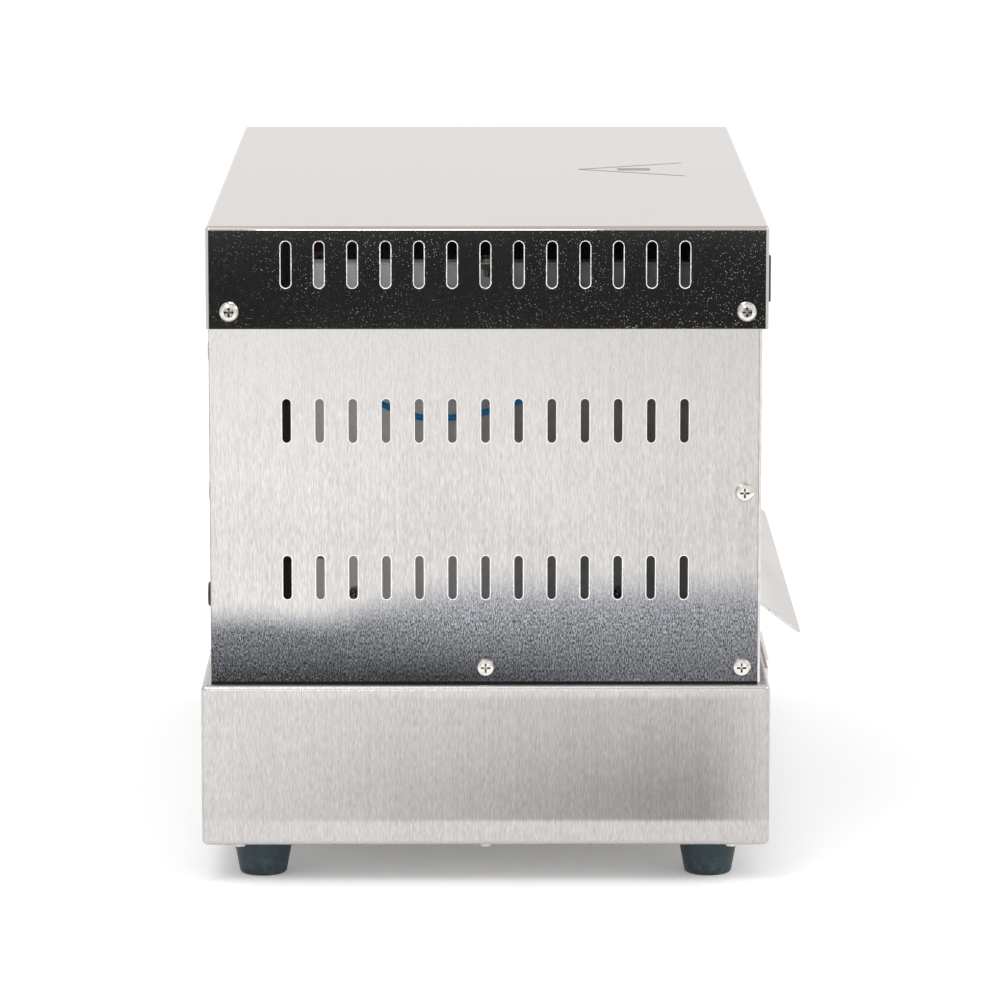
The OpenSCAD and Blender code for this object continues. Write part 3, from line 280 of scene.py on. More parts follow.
def side_panel_steel(name):
    """Brushed panel with painted light and shade: a painted dark reflection with painted glints along its
    foot, a painted shade line just above the base's ledge, painted highlights at its slot edges, and
    painted shade towards its front, its bottom and its bends.
    """
    f = brushed_steel(name, tint=shade(STAINLESS, 1.17))
    height = f.math("SUBTRACT", f.axis("Z"), panel_low.z)
    outward = f.math("ABSOLUTE", f.axis("X"))
    front = f.remap(f.axis("Y"), 100 * MM, 0.0, smooth=True)
    flat = f.remap(outward, -panel_low.x - 1.2 * MM, -panel_low.x - 0.4 * MM)
    # Painted dark reflection along the foot, on the panel's outer face only.
    painted_reflection_band = f.math("MULTIPLY", flat, painted_dark_foot_reflection(f, height, front))
    painted_reflection_darkening = f.math("MULTIPLY", painted_reflection_band, f.math("SUBTRACT", 1.0, painted_foot_reflection_level(f, height, front)))
    factor = f.math("SUBTRACT", 1.0, painted_reflection_darkening)
    # Painted shade: darker towards the front and towards the bottom of the panel.
    across = f.remap(f.axis("Y"), 130 * MM, -130 * MM, 1.0, 0.85)
    up = f.remap(f.axis("Z"), panel_high.z - 122 * MM, panel_high.z - 22 * MM, 0.80, 1.0)
    shaded = f.math("MULTIPLY", factor, bend_shade(f, outward))
    darken(f, f.math("MULTIPLY", shaded, f.math("MULTIPLY", across, up)))
    tinted = f.multiply(f.colour, f.mix(painted_reflection_band, (1.0, 1.0, 1.0), PAINTED_FOOT_REFLECTION_TINT))
    # Painted shade: a near-black line just above the base's ledge, where the panel meets the base.
    painted_gap_shade = f.remap(height, 1.3 * MM, 0.9 * MM, smooth=True)
    grounded = f.mix(painted_gap_shade, tinted, (0.012, 0.012, 0.013))
    # Painted highlight: white along the slot edges.
    rim_highlights = [slot_rim_highlight_mask(f, panel_low.z + up, PANEL_SLOT_HALVES, 0.35 * MM) for up in PANEL_ROWS_UP]
    f.set("Base Color", f.mix(f.math("MAXIMUM", *rim_highlights), grounded, (1.0, 1.0, 1.0)))
    return f.material


def base_steel(name):
    """Brushed base with painted light and shade: darker towards the front and the middle of its height,
    with painted highlights along its top and bottom edges and near its front corner.
    """
    f = brushed_steel(name, tint=(0.73, 0.70, 0.69), contrast=0.42)
    y, z = f.axis("Y"), f.axis("Z")
    # Painted shade darker towards the front, and a painted highlight near the front corner's bend.
    front = f.remap(y, 138 * MM, -80 * MM, 0.72, 0.355)
    near_bend = f.remap(y, -112 * MM, -141 * MM, 0.0, 0.26)
    field = f.math("ADD", front, near_bend)
    # Painted shade deepest in the middle of the height; the top and bottom edges keep the brighter rim tone
    # as painted highlights.
    depth = f.remap(z, base_high.z - 6 * MM, base_high.z - 55 * MM, 0.45, 1.0)
    upper = f.remap(z, base_high.z - 4 * MM, base_high.z - 8 * MM, smooth=True)
    lower = f.remap(z, base_low.z + 11.5 * MM, base_low.z + 14.5 * MM, smooth=True)
    inside = f.math("MULTIPLY", depth, f.math("MULTIPLY", upper, lower))
    rim = f.remap(y, 100 * MM, -100 * MM, 0.76, 0.70)
    factor = f.math("SUBTRACT", rim, f.math("MULTIPLY", inside, f.math("SUBTRACT", rim, field)))
    darken(f, factor)
    return f.material


# Painted shade: the cover's top gets a darker, warmer tint than its skirt, though both are one sheet.
COVER_TOP_TINTS = ((0.50, 0.448, 0.418), (0.52, 0.468, 0.438))
COVER_SKIRT_TINTS = ((0.56, 0.557, 0.545), (0.61, 0.607, 0.595))


def polished_steel(name):
    """Near-mirror stainless with dust specks and fine scuffs, painted highlights at its slot edges, and
    painted shade that makes its top darker and warmer than its skirt.
    """
    f = Finish(name, Metallic=1.0)
    patches = f.remap(f.noise((30.0, 30.0, 30.0), 3.0, 0.6), 0.36, 0.66, 0.05, 0.145)
    specks = f.math("LESS_THAN", f.cells(860.0), patches)
    scuffs = f.remap(f.noise((2600.0, 1500.0, 700.0), 2.0, 0.6), 0.64, 0.80)
    cloud = f.noise((16.0, 16.0, 16.0), 3.0)
    top = f.mix(cloud, *COVER_TOP_TINTS)
    skirt = f.mix(cloud, *COVER_SKIRT_TINTS)
    # Changes from the top's painted-shade tint to the skirt's tint just below the top bend.
    drop = f.remap(f.axis("Z"), cover_high.z - 0.8 * MM, cover_high.z - 2.0 * MM)
    # Painted highlight: white along the slot edges, which the same mask also makes rougher.
    rim_highlights = slot_rim_highlight_mask(f, cover_high.z - COVER_ROW_DOWN, COVER_SLOT_HALVES, 0.42 * MM)
    f.set("Base Color", f.mix(rim_highlights, f.mix(drop, top, skirt), (1.0, 1.0, 1.0)))
    dusty = f.math("MAXIMUM", f.math("MULTIPLY", specks, 0.42), f.math("MULTIPLY", scuffs, 0.12))
    rough = f.math("ADD", dusty, f.remap(cloud, 0.3, 0.7, 0.025, 0.04))
    f.set("Roughness", f.math("MAXIMUM", rough, f.math("MULTIPLY", rim_highlights, 0.55)))
    f.bump(f.math("ADD", scuffs, specks), 0.05, 0.02 * MM)
    return f.material


def mill_steel(name, tint=(0.56, 0.55, 0.535), rough=(0.34, 0.5)):
    """Plain rolled sheet with cloudy oxide and faint rolling lines."""
    f = Finish(name, Metallic=1.0)
    cloud = f.noise((35.0, 35.0, 35.0), 5.0, 0.6)
    lines = f.noise((40.0, 900.0, 900.0), 2.0)
    level = f.math("ADD", f.math("MULTIPLY", cloud, 0.7), f.math("MULTIPLY", lines, 0.3))
    f.set("Base Color", f.mix(f.remap(level, 0.35, 0.65), shade(tint, 0.82), shade(tint, 1.1)))
    f.set("Roughness", f.remap(level, 0.35, 0.65, rough[1], rough[0]))
    f.bump(lines, 0.08, 0.04 * MM)
    return f.material


WALL_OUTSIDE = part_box("chamber_right_wall")[0].x + 0.5 * MM


def galvanised_steel(name):
    """Dull zinc-coated sheet with spangle and painted shade that darkens it towards the door; its outside
    glows with painted light, more towards the rear.
    """
    f = Finish(name, Metallic=0.25)
    grain = f.remap(f.cells(160.0), 0.0, 0.9)
    f.colour = f.mix(grain, (0.97, 0.96, 0.93), (0.84, 0.835, 0.82))
    # Painted shade: darker towards the door.
    painted_front_shade = f.remap(f.axis("Y"), 70 * MM, -90 * MM, 1.0, 0.50, smooth=True)
    darken(f, painted_front_shade)
    # Painted light: the walls' outer faces glow, more towards the rear.
    outside = f.math("GREATER_THAN", f.math("ABSOLUTE", f.axis("X")), WALL_OUTSIDE)
    painted_glow = f.math("MULTIPLY", outside, f.remap(f.axis("Y"), 85 * MM, -20 * MM, 0.12, 0.0))
    f.set("Emission Color", (1.0, 0.985, 0.95, 1.0))
    f.set("Emission Strength", painted_glow)
    f.set("Roughness", f.remap(grain, 0.0, 1.0, 0.45, 0.6))
    f.bump(grain, 0.05, 0.04 * MM)
    return f.material


def plated_metal(name, tint, rough=(0.12, 0.24), painted_recess_shade=0.0):
    """Bright plating or turned metal, duller in worn spots, with painted shade in its recesses."""
    f = Finish(name, Metallic=1.0)
    worn = f.remap(f.noise((420.0, 420.0, 420.0), 4.0, 0.65), 0.52, 0.70)
    turned_marks = f.noise((1500.0, 300.0, 300.0), 2.0)
    f.colour = f.mix(worn, tint, shade(tint, 0.7))
    f.set("Base Color", f.colour)
    if painted_recess_shade:
        # Painted shade: darker where ambient occlusion finds recesses within 2 mm.
        corners = f.add("ShaderNodeAmbientOcclusion", samples=8)
        corners.inputs["Distance"].default_value = 2.0 * MM
        darken(f, f.remap(corners.outputs["AO"], 0.35, 0.75, 1.0 - painted_recess_shade, 1.0))
    fine = f.remap(turned_marks, 0.3, 0.7, *rough)
    f.set("Roughness", f.math("ADD", f.math("MULTIPLY", worn, 0.18), fine))
    f.bump(turned_marks, 0.06, 0.02 * MM)
    return f.material


def moulded_plastic(name, tint, rough=(0.32, 0.45), grain=2200.0):
    """Moulded plastic with a fine spark-eroded grain and slightly rubbed highlights."""
    f = Finish(name)
    texture = f.noise((grain, grain, grain), 2.0)
    rubbed = f.noise((60.0, 60.0, 60.0), 4.0, 0.6)
    f.set("Base Color", f.mix(rubbed, shade(tint, 0.85), shade(tint, 1.2)))
    f.set("Roughness", f.remap(rubbed, 0.35, 0.65, rough[1], rough[0]))
    f.bump(texture, 0.15, 0.05 * MM)
    return f.material


def dusty_rubber(name):
    """Slate-blue rubber with a pale bloom and dust that thickens towards the floor."""
    f = Finish(name, Specular_IOR_Level=0.35)
    bloom = f.noise((260.0, 260.0, 260.0), 5.0, 0.7)
    low = f.remap(f.axis("Z"), 12 * MM, 0.0, 0.0, 0.55)
    dust = f.math("MULTIPLY", f.remap(bloom, 0.45, 0.75), f.math("ADD", low, 0.12))
    f.set("Base Color", f.mix(dust, (0.018, 0.034, 0.044), (0.14, 0.16, 0.17)))
    f.set("Roughness", f.remap(bloom, 0.3, 0.7, 0.42, 0.62))
    f.bump(bloom, 0.3, 0.2 * MM)
    return f.material


def oxidised_sheath(name):
    """Heater sheath: dark green-brown oxide with straw and blue heat tints."""
    f = Finish(name, Metallic=0.85)
    tint = f.noise((25.0, 90.0, 90.0), 4.0, 0.6)
    scale = f.noise((700.0, 700.0, 700.0), 3.0)
    body = f.mix(f.remap(tint, 0.38, 0.62), (0.075, 0.07, 0.055), (0.19, 0.155, 0.12))
    f.set("Base Color", f.mix(f.remap(scale, 0.6, 0.75), body, (0.10, 0.12, 0.16)))
    f.set("Roughness", f.remap(scale, 0.3, 0.7, 0.38, 0.6))
    f.bump(scale, 0.25, 0.1 * MM)
    return f.material


def ceramic(name):
    """Matt white ceramic with a fine grain and brown heat stains."""
    f = Finish(name, Specular_IOR_Level=0.4)
    grain = f.noise((900.0, 900.0, 900.0), 4.0, 0.6)
    stain = f.noise((80.0, 80.0, 80.0), 3.0)
    f.set("Base Color", f.mix(f.remap(stain, 0.45, 0.75), (0.80, 0.77, 0.70), (0.60, 0.53, 0.42)))
    f.set("Roughness", f.remap(grain, 0.3, 0.7, 0.5, 0.75))
    f.bump(grain, 0.2, 0.1 * MM)
    return f.material


def mineral_wool(name):
    """Lumpy brown-grey fibre blanket."""
    f = Finish(name, Roughness=0.95, Sheen_Weight=0.2)
    fibres = f.noise((900.0, 120.0, 900.0), 6.0, 0.75)
    lumps = f.noise((70.0, 70.0, 70.0), 4.0)
    f.set("Base Color", f.mix(fibres, (0.10, 0.085, 0.055), (0.24, 0.21, 0.15)))
    f.bump(f.math("ADD", fibres, lumps), 0.8, 1.0 * MM)
    return f.material


def clear_glass(name, tint, smear=True):
    """Thin clear glass with faint wiping smears."""
    f = Finish(name, Base_Color=(*tint, 1.0), Transmission_Weight=1.0, IOR=1.45)
    smears = f.noise((30.0, 30.0, 9.0), 4.0, 0.7)
    f.set("Roughness", f.remap(smears, 0.5, 0.8, 0.02, 0.16 if smear else 0.05))
    return f.material


def lens_plastic(name):
    """Amber-red lens with a moulded prism pattern."""
    f = Finish(name, Transmission_Weight=0.25, IOR=1.49, Coat_Weight=0.6)
    prism = f.noise((1500.0, 1500.0, 1500.0), 1.0)
    f.set("Base Color", f.mix(prism, (0.75, 0.10, 0.02), (0.95, 0.28, 0.06)))
    f.set("Roughness", f.remap(prism, 0.3, 0.7, 0.08, 0.2))
    f.bump(prism, 0.4, 0.2 * MM)
    return f.material


def silicone(name, tint, rough=(0.4, 0.55)):
    """Wire or gasket silicone: satin, with talc-like variation."""
    f = Finish(name, Specular_IOR_Level=0.45)
    talc = f.noise((320.0, 320.0, 320.0), 4.0, 0.6)
    f.set("Base Color", f.mix(talc, shade(tint, 0.8), tuple(c * 1.1 + 0.01 for c in tint)))
    f.set("Roughness", f.remap(talc, 0.3, 0.7, *rough))
    f.bump(talc, 0.1, 0.1 * MM)
    return f.material


def printed_ink(name, tint):
    """Screen-printed marking with slightly broken coverage."""
    f = Finish(name)
    cover = f.noise((900.0, 900.0, 900.0), 3.0, 0.7)
    f.set("Base Color", f.mix(f.remap(cover, 0.3, 0.7), tint, tuple(c * 1.35 + 0.01 for c in tint)))
    f.set("Roughness", f.remap(cover, 0.3, 0.7, 0.35, 0.55))
    return f.material


finishes = {
    "side": side_panel_steel("brushed_side_panel"),
    "base": base_steel("brushed_base"),
    "brushed": brushed_steel("brushed_stainless").material,
    "polished": polished_steel("polished_stainless"),
    "mill": mill_steel("mill_steel"),
    "galvanised": galvanised_steel("galvanised_steel"),
    "bright_mill": mill_steel("aluminised_steel", (0.72, 0.72, 0.71), (0.22, 0.36)),
    "nickel": plated_metal("nickel_plate", (0.74, 0.715, 0.67), (0.10, 0.18), painted_recess_shade=0.96),
    "chrome": plated_metal("spit_chrome", (0.78, 0.78, 0.77), (0.08, 0.18)),
    "brass": plated_metal("brass", (0.78, 0.58, 0.26), (0.2, 0.34)),
    "copper": plated_metal("copper_tube", (0.80, 0.42, 0.26), (0.25, 0.4)),
    "rubber": dusty_rubber("foot_rubber"),
    "sheath": oxidised_sheath("heater_sheath"),
    "ceramic": ceramic("white_ceramic"),
    "wool": mineral_wool("mineral_wool"),
    "motor": moulded_plastic("motor_lacquer", (0.03, 0.03, 0.034), (0.25, 0.4), 700.0),
    "cream": moulded_plastic("cream_plastic", (0.62, 0.54, 0.40)),
    "black": moulded_plastic("black_plastic", (0.012, 0.012, 0.013), (0.22, 0.34)),
    "glass": clear_glass("door_glass_clear", (0.93, 0.97, 0.96)),
    "bulb": clear_glass("lamp_glass_clear", (0.97, 0.97, 0.95), smear=False),
    "lens": lens_plastic("pilot_lens"),
    "blue": silicone("blue_insulation", (0.015, 0.42, 1.0)),
    "brown": silicone("brown_insulation", (0.16, 0.07, 0.03)),
    "gasket": silicone("gasket_silicone", (0.045, 0.045, 0.045)),
    "grey_ink": printed_ink("grey_ink", (0.20, 0.19, 0.18)),
    "black_ink": printed_ink("black_ink", (0.015, 0.015, 0.015)),
    "white_ink": printed_ink("white_ink", (0.75, 0.75, 0.73)),
}

NODE_FINISH = {
    "side": "left_side_panel right_side_panel",
    "base": "base_shell",
    "brushed": "front_frame rear_panel door_frame drawer_front",
    "polished": "top_cover",
    "mill": "base_plate chamber_rear_wall chamber_ceiling chamber_floor motor_bracket door_retainer "
            "drawer_rails heater_clips spit_support",
    "galvanised": "chamber_left_wall chamber_right_wall",
    "bright_mill": "heat_reflector grease_drawer",
    "nickel": "base_screws wall_bolts panel_screws hinge_pins left_thumb_screw right_thumb_screw",
    "chrome": "spit_rod drive_socket left_fork right_fork motor_pinion",
    "brass": "heater_terminals drive_bush drive_gear door_bushes",
    "copper": "thermostat_bulb",
    "rubber": "feet",
    "sheath": "top_heaters back_heater",
    "ceramic": "heater_insulators lamp_holder",
    "wool": "insulation",
    "motor": "motor door_magnet",
    "cream": "thermostat_body timer_body terminal_block",
    "black": "switch_bodies thermostat_knob timer_knob power_rocker lamp_rocker cord_gland",
    "glass": "door_glass",
    "bulb": "lamp_bulb lamp_glass",
    "lens": "pilot_lamps",
    "blue": "blue_wires",
    "brown": "brown_wires",
}


def paint_nodes():
    for finish, names in NODE_FINISH.items():
        for name in names.split():
            for slot in nodes[name].material_slots:
                slot.material = finishes[finish]


paint_nodes()


# ---------- softened edges on the CAD nodes ----------

MERGE = 0.01 * MM
EDGE_RADII = {
    0.28 * MM: "top_cover",
    0.22 * MM: "front_frame base_shell door_frame drawer_front switch_bodies motor_bracket heat_reflector",
    0.30 * MM: "grease_drawer chamber_left_wall chamber_right_wall "
               "left_thumb_screw right_thumb_screw spit_support",
    0.45 * MM: "feet timer_knob thermostat_knob power_rocker lamp_rocker cord_gland terminal_block "
               "timer_body thermostat_body motor",
}


def add_weld(name):
    """Joins a node's doubled corners, and gives the node."""
    node = nodes[name]
    weld = node.modifiers.new("weld", "WELD")
    weld.merge_threshold = MERGE
    return node


def soften_edges(name, radius):
    """Small bevel on a node's edges, with its flat faces kept flat."""
    node = add_weld(name)
    flats = node.modifiers.new("joined_flats", "DECIMATE")
    flats.decimate_type = "DISSOLVE"
    flats.angle_limit = math.radians(0.5)
    bevel = node.modifiers.new("softened_edges", "BEVEL")
    bevel.width = radius
    bevel.segments = 2
    bevel.limit_method = "ANGLE"
    bevel.angle_limit = math.radians(40)
    bevel.use_clamp_overlap = False
    flat = node.modifiers.new("flat_normals", "WEIGHTED_NORMAL")
    flat.weight = 100


for radius, names in EDGE_RADII.items():
    for name in names.split():
        soften_edges(name, radius)


def smooth_tubes(name):
    """Rounds a node's few-sided tubes."""
    node = add_weld(name)
    rounding = node.modifiers.new("rounding", "SUBSURF")
    rounding.levels = 1
    rounding.render_levels = 1


for name in ("blue_wires", "brown_wires", "thermostat_bulb"):
    smooth_tubes(name)


# ---------- mesh building blocks ----------

def add_piece(name, bm, finish, body, sharp=35):
    """Turns a bmesh in the row frame into a piece that rides on a body."""
    bmesh.ops.remove_doubles(bm, verts=bm.verts, dist=0.0005 * MM)
    bmesh.ops.recalc_face_normals(bm, faces=bm.faces)
    mesh = bpy.data.meshes.new(name)
    bm.to_mesh(mesh)
    bm.free()
    mesh.shade_smooth()
    mesh.set_sharp_from_angle(angle=math.radians(sharp))
    mesh.materials.append(finishes[finish])
    piece = bpy.data.objects.new(name, mesh)
    scene.collection.objects.link(piece)
    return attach(piece, body)


def turned(bm, profile, place, steps=32):
    """Adds a solid of revolution: profile is (radius, height) pairs, closed onto its axis at both ends."""
    rings = []
    for radius, height in profile:
        ring = []
        for i in range(steps):
            angle = 2 * math.pi * i / steps
            point = Vector((radius * math.cos(angle), radius * math.sin(angle), height))
            ring.append(bm.verts.new(place @ point))
        rings.append(ring)
    for lower, upper in zip(rings, rings[1:]):
        for i in range(steps):
            j = (i + 1) % steps
            bm.faces.new((lower[i], lower[j], upper[j], upper[i]))
    bm.faces.new(list(reversed(rings[0])))
    bm.faces.new(rings[-1])


def prism(bm, outline, thickness, place):
    """Adds a flat solid: a closed outline in the local XY plane, thickened along local Z."""
    low = [bm.verts.new(place @ Vector((x, y, 0))) for x, y in outline]
    high = [bm.verts.new(place @ Vector((x, y, thickness))) for x, y in outline]
    count = len(outline)
    bm.faces.new(list(reversed(low)))
    bm.faces.new(high)
    for i in range(count):
        j = (i + 1) % count
        bm.faces.new((low[i], low[j], high[j], high[i]))


def frame_ring(bm, outer, inner, thickness, place):
    """Adds a flat ring between two outlines with the same number of corners."""
    count = len(outer)
    levels = [[bm.verts.new(place @ Vector((x, y, z))) for x, y in line]
              for line, z in ((outer, 0), (outer, thickness), (inner, thickness), (inner, 0))]
    for a, b in zip(levels, levels[1:] + levels[:1]):
        for i in range(count):
            j = (i + 1) % count
            bm.faces.new((a[i], a[j], b[j], b[i]))


def rounded_outline(half_w, half_h, radius, steps=6):
    """A rectangle's outline with quarter-circle corners."""
    points = []
    corners = ((1, 1, 0), (-1, 1, 90), (-1, -1, 180), (1, -1, 270))
    for sx, sy, start in corners:
        for i in range(steps + 1):
            angle = math.radians(start + 90 * i / steps)
            points.append((sx * (half_w - radius) + radius * math.cos(angle),
                           sy * (half_h - radius) + radius * math.sin(angle)))
    return points


def tube_loop(name, points, radius, finish, body, closed=True):
    """A round tube on a smooth curve through points."""
    curve = bpy.data.curves.new(name, "CURVE")
    curve.dimensions = "3D"
    curve.bevel_depth = radius
    curve.bevel_resolution = 4
    curve.use_fill_caps = True
    spline = curve.splines.new("POLY")
    spline.points.add(len(points) - 1)
    for target, point in zip(spline.points, points):
        target.co = (*point, 1.0)
    spline.use_cyclic_u = closed
    curve.materials.append(finishes[finish])
    piece = bpy.data.objects.new(name, curve)
    scene.collection.objects.link(piece)
    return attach(piece, body)


def in_mm(profile):
    """Turns (radius, height) pairs in millimetres into metres."""
    return [(radius * MM, height * MM) for radius, height in profile]


def towards(direction, origin):
    """A placement whose local Z points along direction."""
    turn = Vector(direction).to_track_quat("Z", "Y").to_matrix().to_4x4()
    return Matrix.Translation(origin) @ turn


# ---------- printed marks ----------

MARK_LENGTH = 57 * MM
MARK_SPREAD = 33 * MM
MARK_LINE = 2.6 * MM
MARK_APEX = Vector((16 * MM, -51 * MM))
MARK_BAR_HALVES = (5.5 * MM, 9 * MM)
MARK_BAR_FROM_APEX = 30 * MM
FILM = 0.06 * MM


def add_cover_mark():
    """Generic sign on the cover: an open arrowhead of two lines round a plain bar, its tip to the rear."""
    bm = bmesh.new()
    slant = math.hypot(MARK_LENGTH, MARK_SPREAD)
    for side in (-1, 1):
        middle = MARK_APEX + Vector((side * MARK_SPREAD, -MARK_LENGTH)) / 2
        place = (Matrix.Translation((*middle, cover_high.z))
                 @ Matrix.Rotation(side * math.atan2(MARK_SPREAD, MARK_LENGTH), 4, "Z"))
        prism(bm, rounded_outline(MARK_LINE / 2, slant / 2, MARK_LINE * 0.45), FILM, place)
    bar = Matrix.Translation((MARK_APEX.x, MARK_APEX.y - MARK_BAR_FROM_APEX, cover_high.z))
    prism(bm, rounded_outline(*MARK_BAR_HALVES, 1.5 * MM), FILM, bar)
    add_piece("cover_mark", bm, "grey_ink", "housing")


TICK_START = -135
TICK_SWEEP = 270
TICK_HALF_WIDTH = 0.3 * MM
DIAL_RADIUS = 14.8 * MM
FACING_FRONT = Matrix.Rotation(math.radians(90), 4, "X")
knob_floor_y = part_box("timer_body")[0].y


def add_dial(name, knob, ticks):
    """Ring of printed ticks round a knob, every fourth one longer."""
    middle = centre(knob)
    bm = bmesh.new()
    for i in range(ticks):
        angle = math.radians(TICK_START + TICK_SWEEP * i / (ticks - 1))
        length = 3.4 * MM if i % 4 == 0 else 2.0 * MM
        w = TICK_HALF_WIDTH
        place = (Matrix.Translation((middle.x, knob_floor_y, middle.z))
                 @ Matrix.Rotation(angle, 4, "Y")
                 @ Matrix.Translation((0, 0, DIAL_RADIUS)) @ FACING_FRONT)
        prism(bm, [(-w, 0), (w, 0), (w, length), (-w, length)], FILM, place)
    add_piece(name, bm, "black_ink", "housing")


KNOB_CAP = [(7.0, -0.3), (7.0, 0.3), (6.7, 0.5), (5.4, 0.6), (5.1, 0.4), (2.0, 0.45)]
POINTER_UP = 9.0 * MM


def add_knob_trim(knob):
    """Bright cap and white pointer line on a knob's grip; a knob and its body share a name."""
    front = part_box(knob)[0].y
    middle = centre(knob)
    bm = bmesh.new()
    cap = towards((0, -1, 0), (middle.x, front + 0.05 * MM, middle.z))
    turned(bm, in_mm(KNOB_CAP), cap, 48)
    add_piece(knob + "_cap", bm, "nickel", knob)
    bm = bmesh.new()
    line = Matrix.Translation((middle.x, front + 0.02 * MM, middle.z + POINTER_UP)) @ FACING_FRONT
    prism(bm, rounded_outline(0.6 * MM, 1.7 * MM, 0.5 * MM), FILM * 2, line)
    add_piece(knob + "_pointer", bm, "white_ink", knob)


SYMBOL_OFF_MIDDLE = 6.5 * MM
SYMBOL_DEPTH = 1.55 * MM
SYMBOL_THICKNESS = 0.2 * MM


def add_rocker_mark(name, rocker, circle):
    """Generic ring or line moulded on a rocker's face; a rocker and its body share a name."""
    middle = centre(rocker)
    x = middle.x + (SYMBOL_OFF_MIDDLE if circle else -SYMBOL_OFF_MIDDLE)
    place = Matrix.Translation((x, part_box(rocker)[0].y + SYMBOL_DEPTH, middle.z)) @ FACING_FRONT
    bm = bmesh.new()
    if circle:
        outer = rounded_outline(2.6 * MM, 2.6 * MM, 2.55 * MM)
        inner = rounded_outline(2.0 * MM, 2.0 * MM, 1.95 * MM)
        frame_ring(bm, outer, inner, SYMBOL_THICKNESS, place)
    else:
        prism(bm, rounded_outline(0.4 * MM, 2.8 * MM, 0.35 * MM), SYMBOL_THICKNESS, place)
    add_piece(name, bm, "white_ink", rocker)


add_cover_mark()
add_rocker_mark("power_mark", "power_rocker", circle=True)
add_rocker_mark("lamp_mark", "lamp_rocker", circle=False)
add_dial("timer_dial", "timer_knob", 17)
add_dial("thermostat_dial", "thermostat_knob", 13)
for knob in ("timer_knob", "thermostat_knob"):
    add_knob_trim(knob)


# ---------- door ----------

GASKET_RADIUS = 1.6 * MM
GASKET_INSET = 3 * MM


def add_door_gasket():
    """Bulb gasket on the door's rear face, along the edge of the glass."""
    middle = centre("door_glass")
    half = (glass_high - glass_low) / 2
    outline = rounded_outline(half.x - GASKET_INSET, half.z - GASKET_INSET, 9 * MM, 8)
    y = retainer_back - 0.4 * MM
    points = [(middle.x + x, y, middle.z + z) for x, z in outline]
    tube_loop("door_gasket", points, GASKET_RADIUS, "gasket", "door")


add_door_gasket()


# ---------- wiring details ----------

LUG_SLEEVE = [(1.7, 0), (2.5, 0.2), (2.5, 1.2), (2.2, 1.5), (2.5, 1.8), (2.4, 2.6), (1.8, 2.8)]
CLAMP_SCREW = [(2.1, -0.4), (2.1, 0.5), (1.8, 0.8), (0.5, 0.85)]
TERMINAL_PITCH = 10 * MM
CLAMP_UP = 7 * MM


def add_wire_sleeves():
    """Crimped lugs' sleeves where wires meet the heaters' studs: a top heater's leg and the rear one's."""
    low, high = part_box("heater_terminals")
    bm = bmesh.new()
    for leg_y, leg_z in ((-48 * MM, high.z - 9 * MM), (84 * MM, low.z + 3.2 * MM)):
        place = towards((-1, 0, 0), (low.x + 0.4 * MM, leg_y, leg_z))
        turned(bm, in_mm(LUG_SLEEVE), place, 20)
    add_piece("heater_lug_sleeves", bm, "brass", "housing")


def add_terminal_screws():
    """Clamp screws in the front and rear faces of the terminal block."""
    bm = bmesh.new()
    for column in range(3):
        x = block_high.x - TERMINAL_PITCH * (column + 0.5)
        for row_y, outward in ((block_low.y, -1), (block_high.y, 1)):
            place = towards((0, outward, 0), (x, row_y, block_low.z + CLAMP_UP))
            turned(bm, in_mm(CLAMP_SCREW), place, 20)
    add_piece("terminal_screws", bm, "nickel", "housing")


add_wire_sleeves()
add_terminal_screws()


# ---------- floor, world and lights ----------

FLOOR_RADIUS = 2.1
FLOOR_GREY = 0.93
FLOOR_GLOW = 0.14
SKY = 0.96
GAP = 0.03
BACKDROP = 1.05


def add_floor():
    """Plain pale disc, matt, with a faint glow that keeps it near white."""
    bm = bmesh.new()
    bmesh.ops.create_circle(bm, cap_ends=True, radius=FLOOR_RADIUS, segments=128)
    mesh = bpy.data.meshes.new("floor")
    bm.to_mesh(mesh)
    bm.free()
    floor = bpy.data.objects.new("floor", mesh)
    scene.collection.objects.link(floor)
    paint = Finish("floor_paint", Base_Color=(FLOOR_GREY, FLOOR_GREY, FLOOR_GREY, 1.0), Roughness=0.8,
                   Emission_Color=(1.0, 1.0, 1.0, 1.0), Emission_Strength=FLOOR_GLOW)
    mesh.materials.append(paint.material)


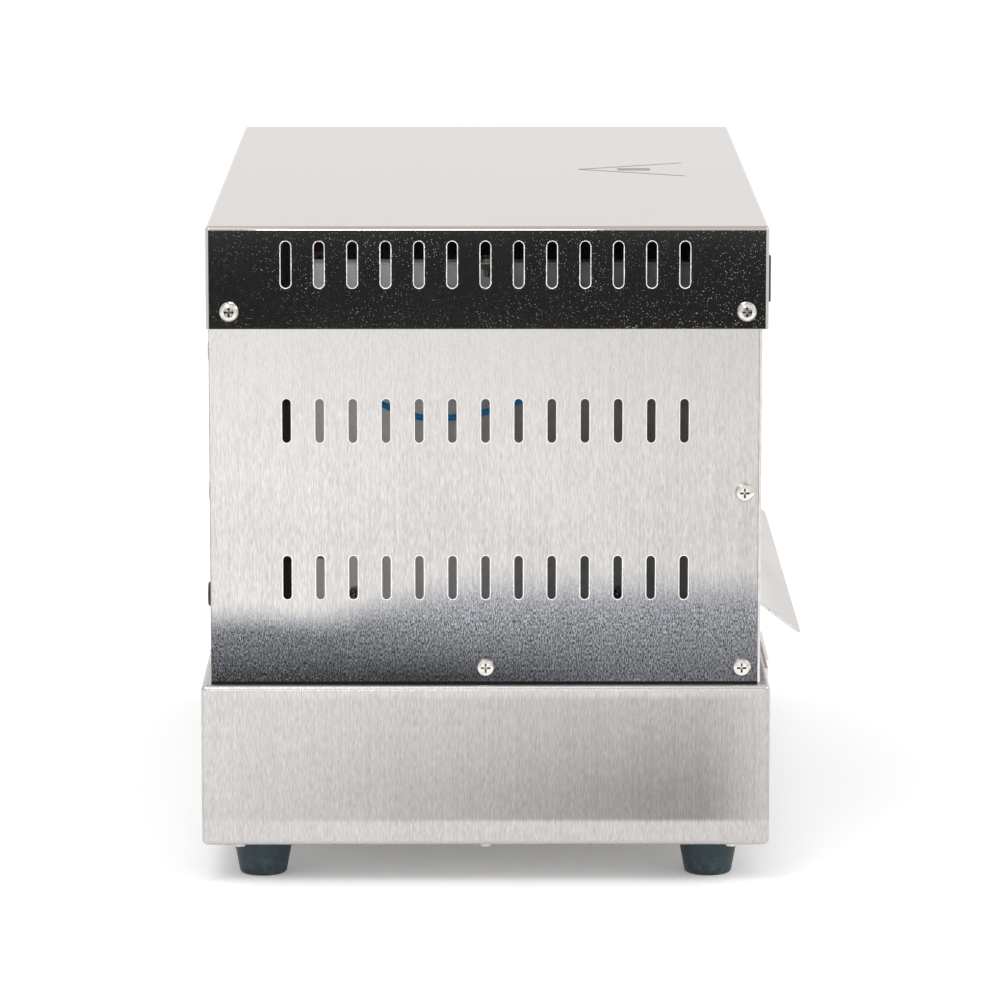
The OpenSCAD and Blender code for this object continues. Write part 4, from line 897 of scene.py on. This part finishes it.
def add_world():
    """White studio with a dark gap past the floor's edge, off the oven's left end."""
    world = bpy.data.worlds.new("studio")
    scene.world = world
    world.use_nodes = True
    tree = world.node_tree
    tree.nodes.clear()
    link = tree.links.new
    direction = tree.nodes.new("ShaderNodeTexCoord").outputs["Generated"]
    split = tree.nodes.new("ShaderNodeSeparateXYZ")
    link(direction, split.inputs[0])

    def fade(output, start, end, to_start=0.0, to_end=1.0):
        node = tree.nodes.new("ShaderNodeMapRange")
        node.interpolation_type = "SMOOTHSTEP"
        for index, number in enumerate((start, end, to_start, to_end), start=1):
            node.inputs[index].default_value = number
        link(output, node.inputs[0])
        return node.outputs[0]

    gap = tree.nodes.new("ShaderNodeMath")
    gap.operation = "MULTIPLY"
    link(fade(split.outputs["Z"], -0.075, -0.125), gap.inputs[0])
    link(fade(split.outputs["X"], -0.80, -0.92), gap.inputs[1])
    rays = tree.nodes.new("ShaderNodeLightPath")
    seen = tree.nodes.new("ShaderNodeMix")
    link(rays.outputs["Is Camera Ray"], seen.inputs[0])
    link(fade(gap.outputs[0], 0.0, 1.0, SKY, GAP), seen.inputs[2])
    seen.inputs[3].default_value = BACKDROP
    background = tree.nodes.new("ShaderNodeBackground")
    background.inputs["Color"].default_value = (1.0, 1.0, 1.0, 1.0)
    link(seen.outputs[0], background.inputs["Strength"])
    output = tree.nodes.new("ShaderNodeOutputWorld")
    link(background.outputs[0], output.inputs[0])


def add_softbox(name, place, target, size, power):
    """Square area light at a place, facing a target."""
    data = bpy.data.lights.new(name, "AREA")
    data.shape = "SQUARE"
    data.size = size
    data.energy = power
    light = bpy.data.objects.new(name, data)
    light.matrix_world = towards(Vector(place) - Vector(target), place)
    scene.collection.objects.link(light)


add_floor()
add_world()
add_softbox("key_softbox", (-1.6, 0.9, 2.3), (0, 0, 0.2), 1.2, 18)
add_softbox("front_softbox", (-0.4, -2.2, 1.6), (0, 0, 0.2), 1.2, 14)
add_softbox("lens_softbox", (-3.3, 0.06, 0.72), (0, 0, 0.15), 0.35, 5)
scene.view_settings.view_transform = "Standard"
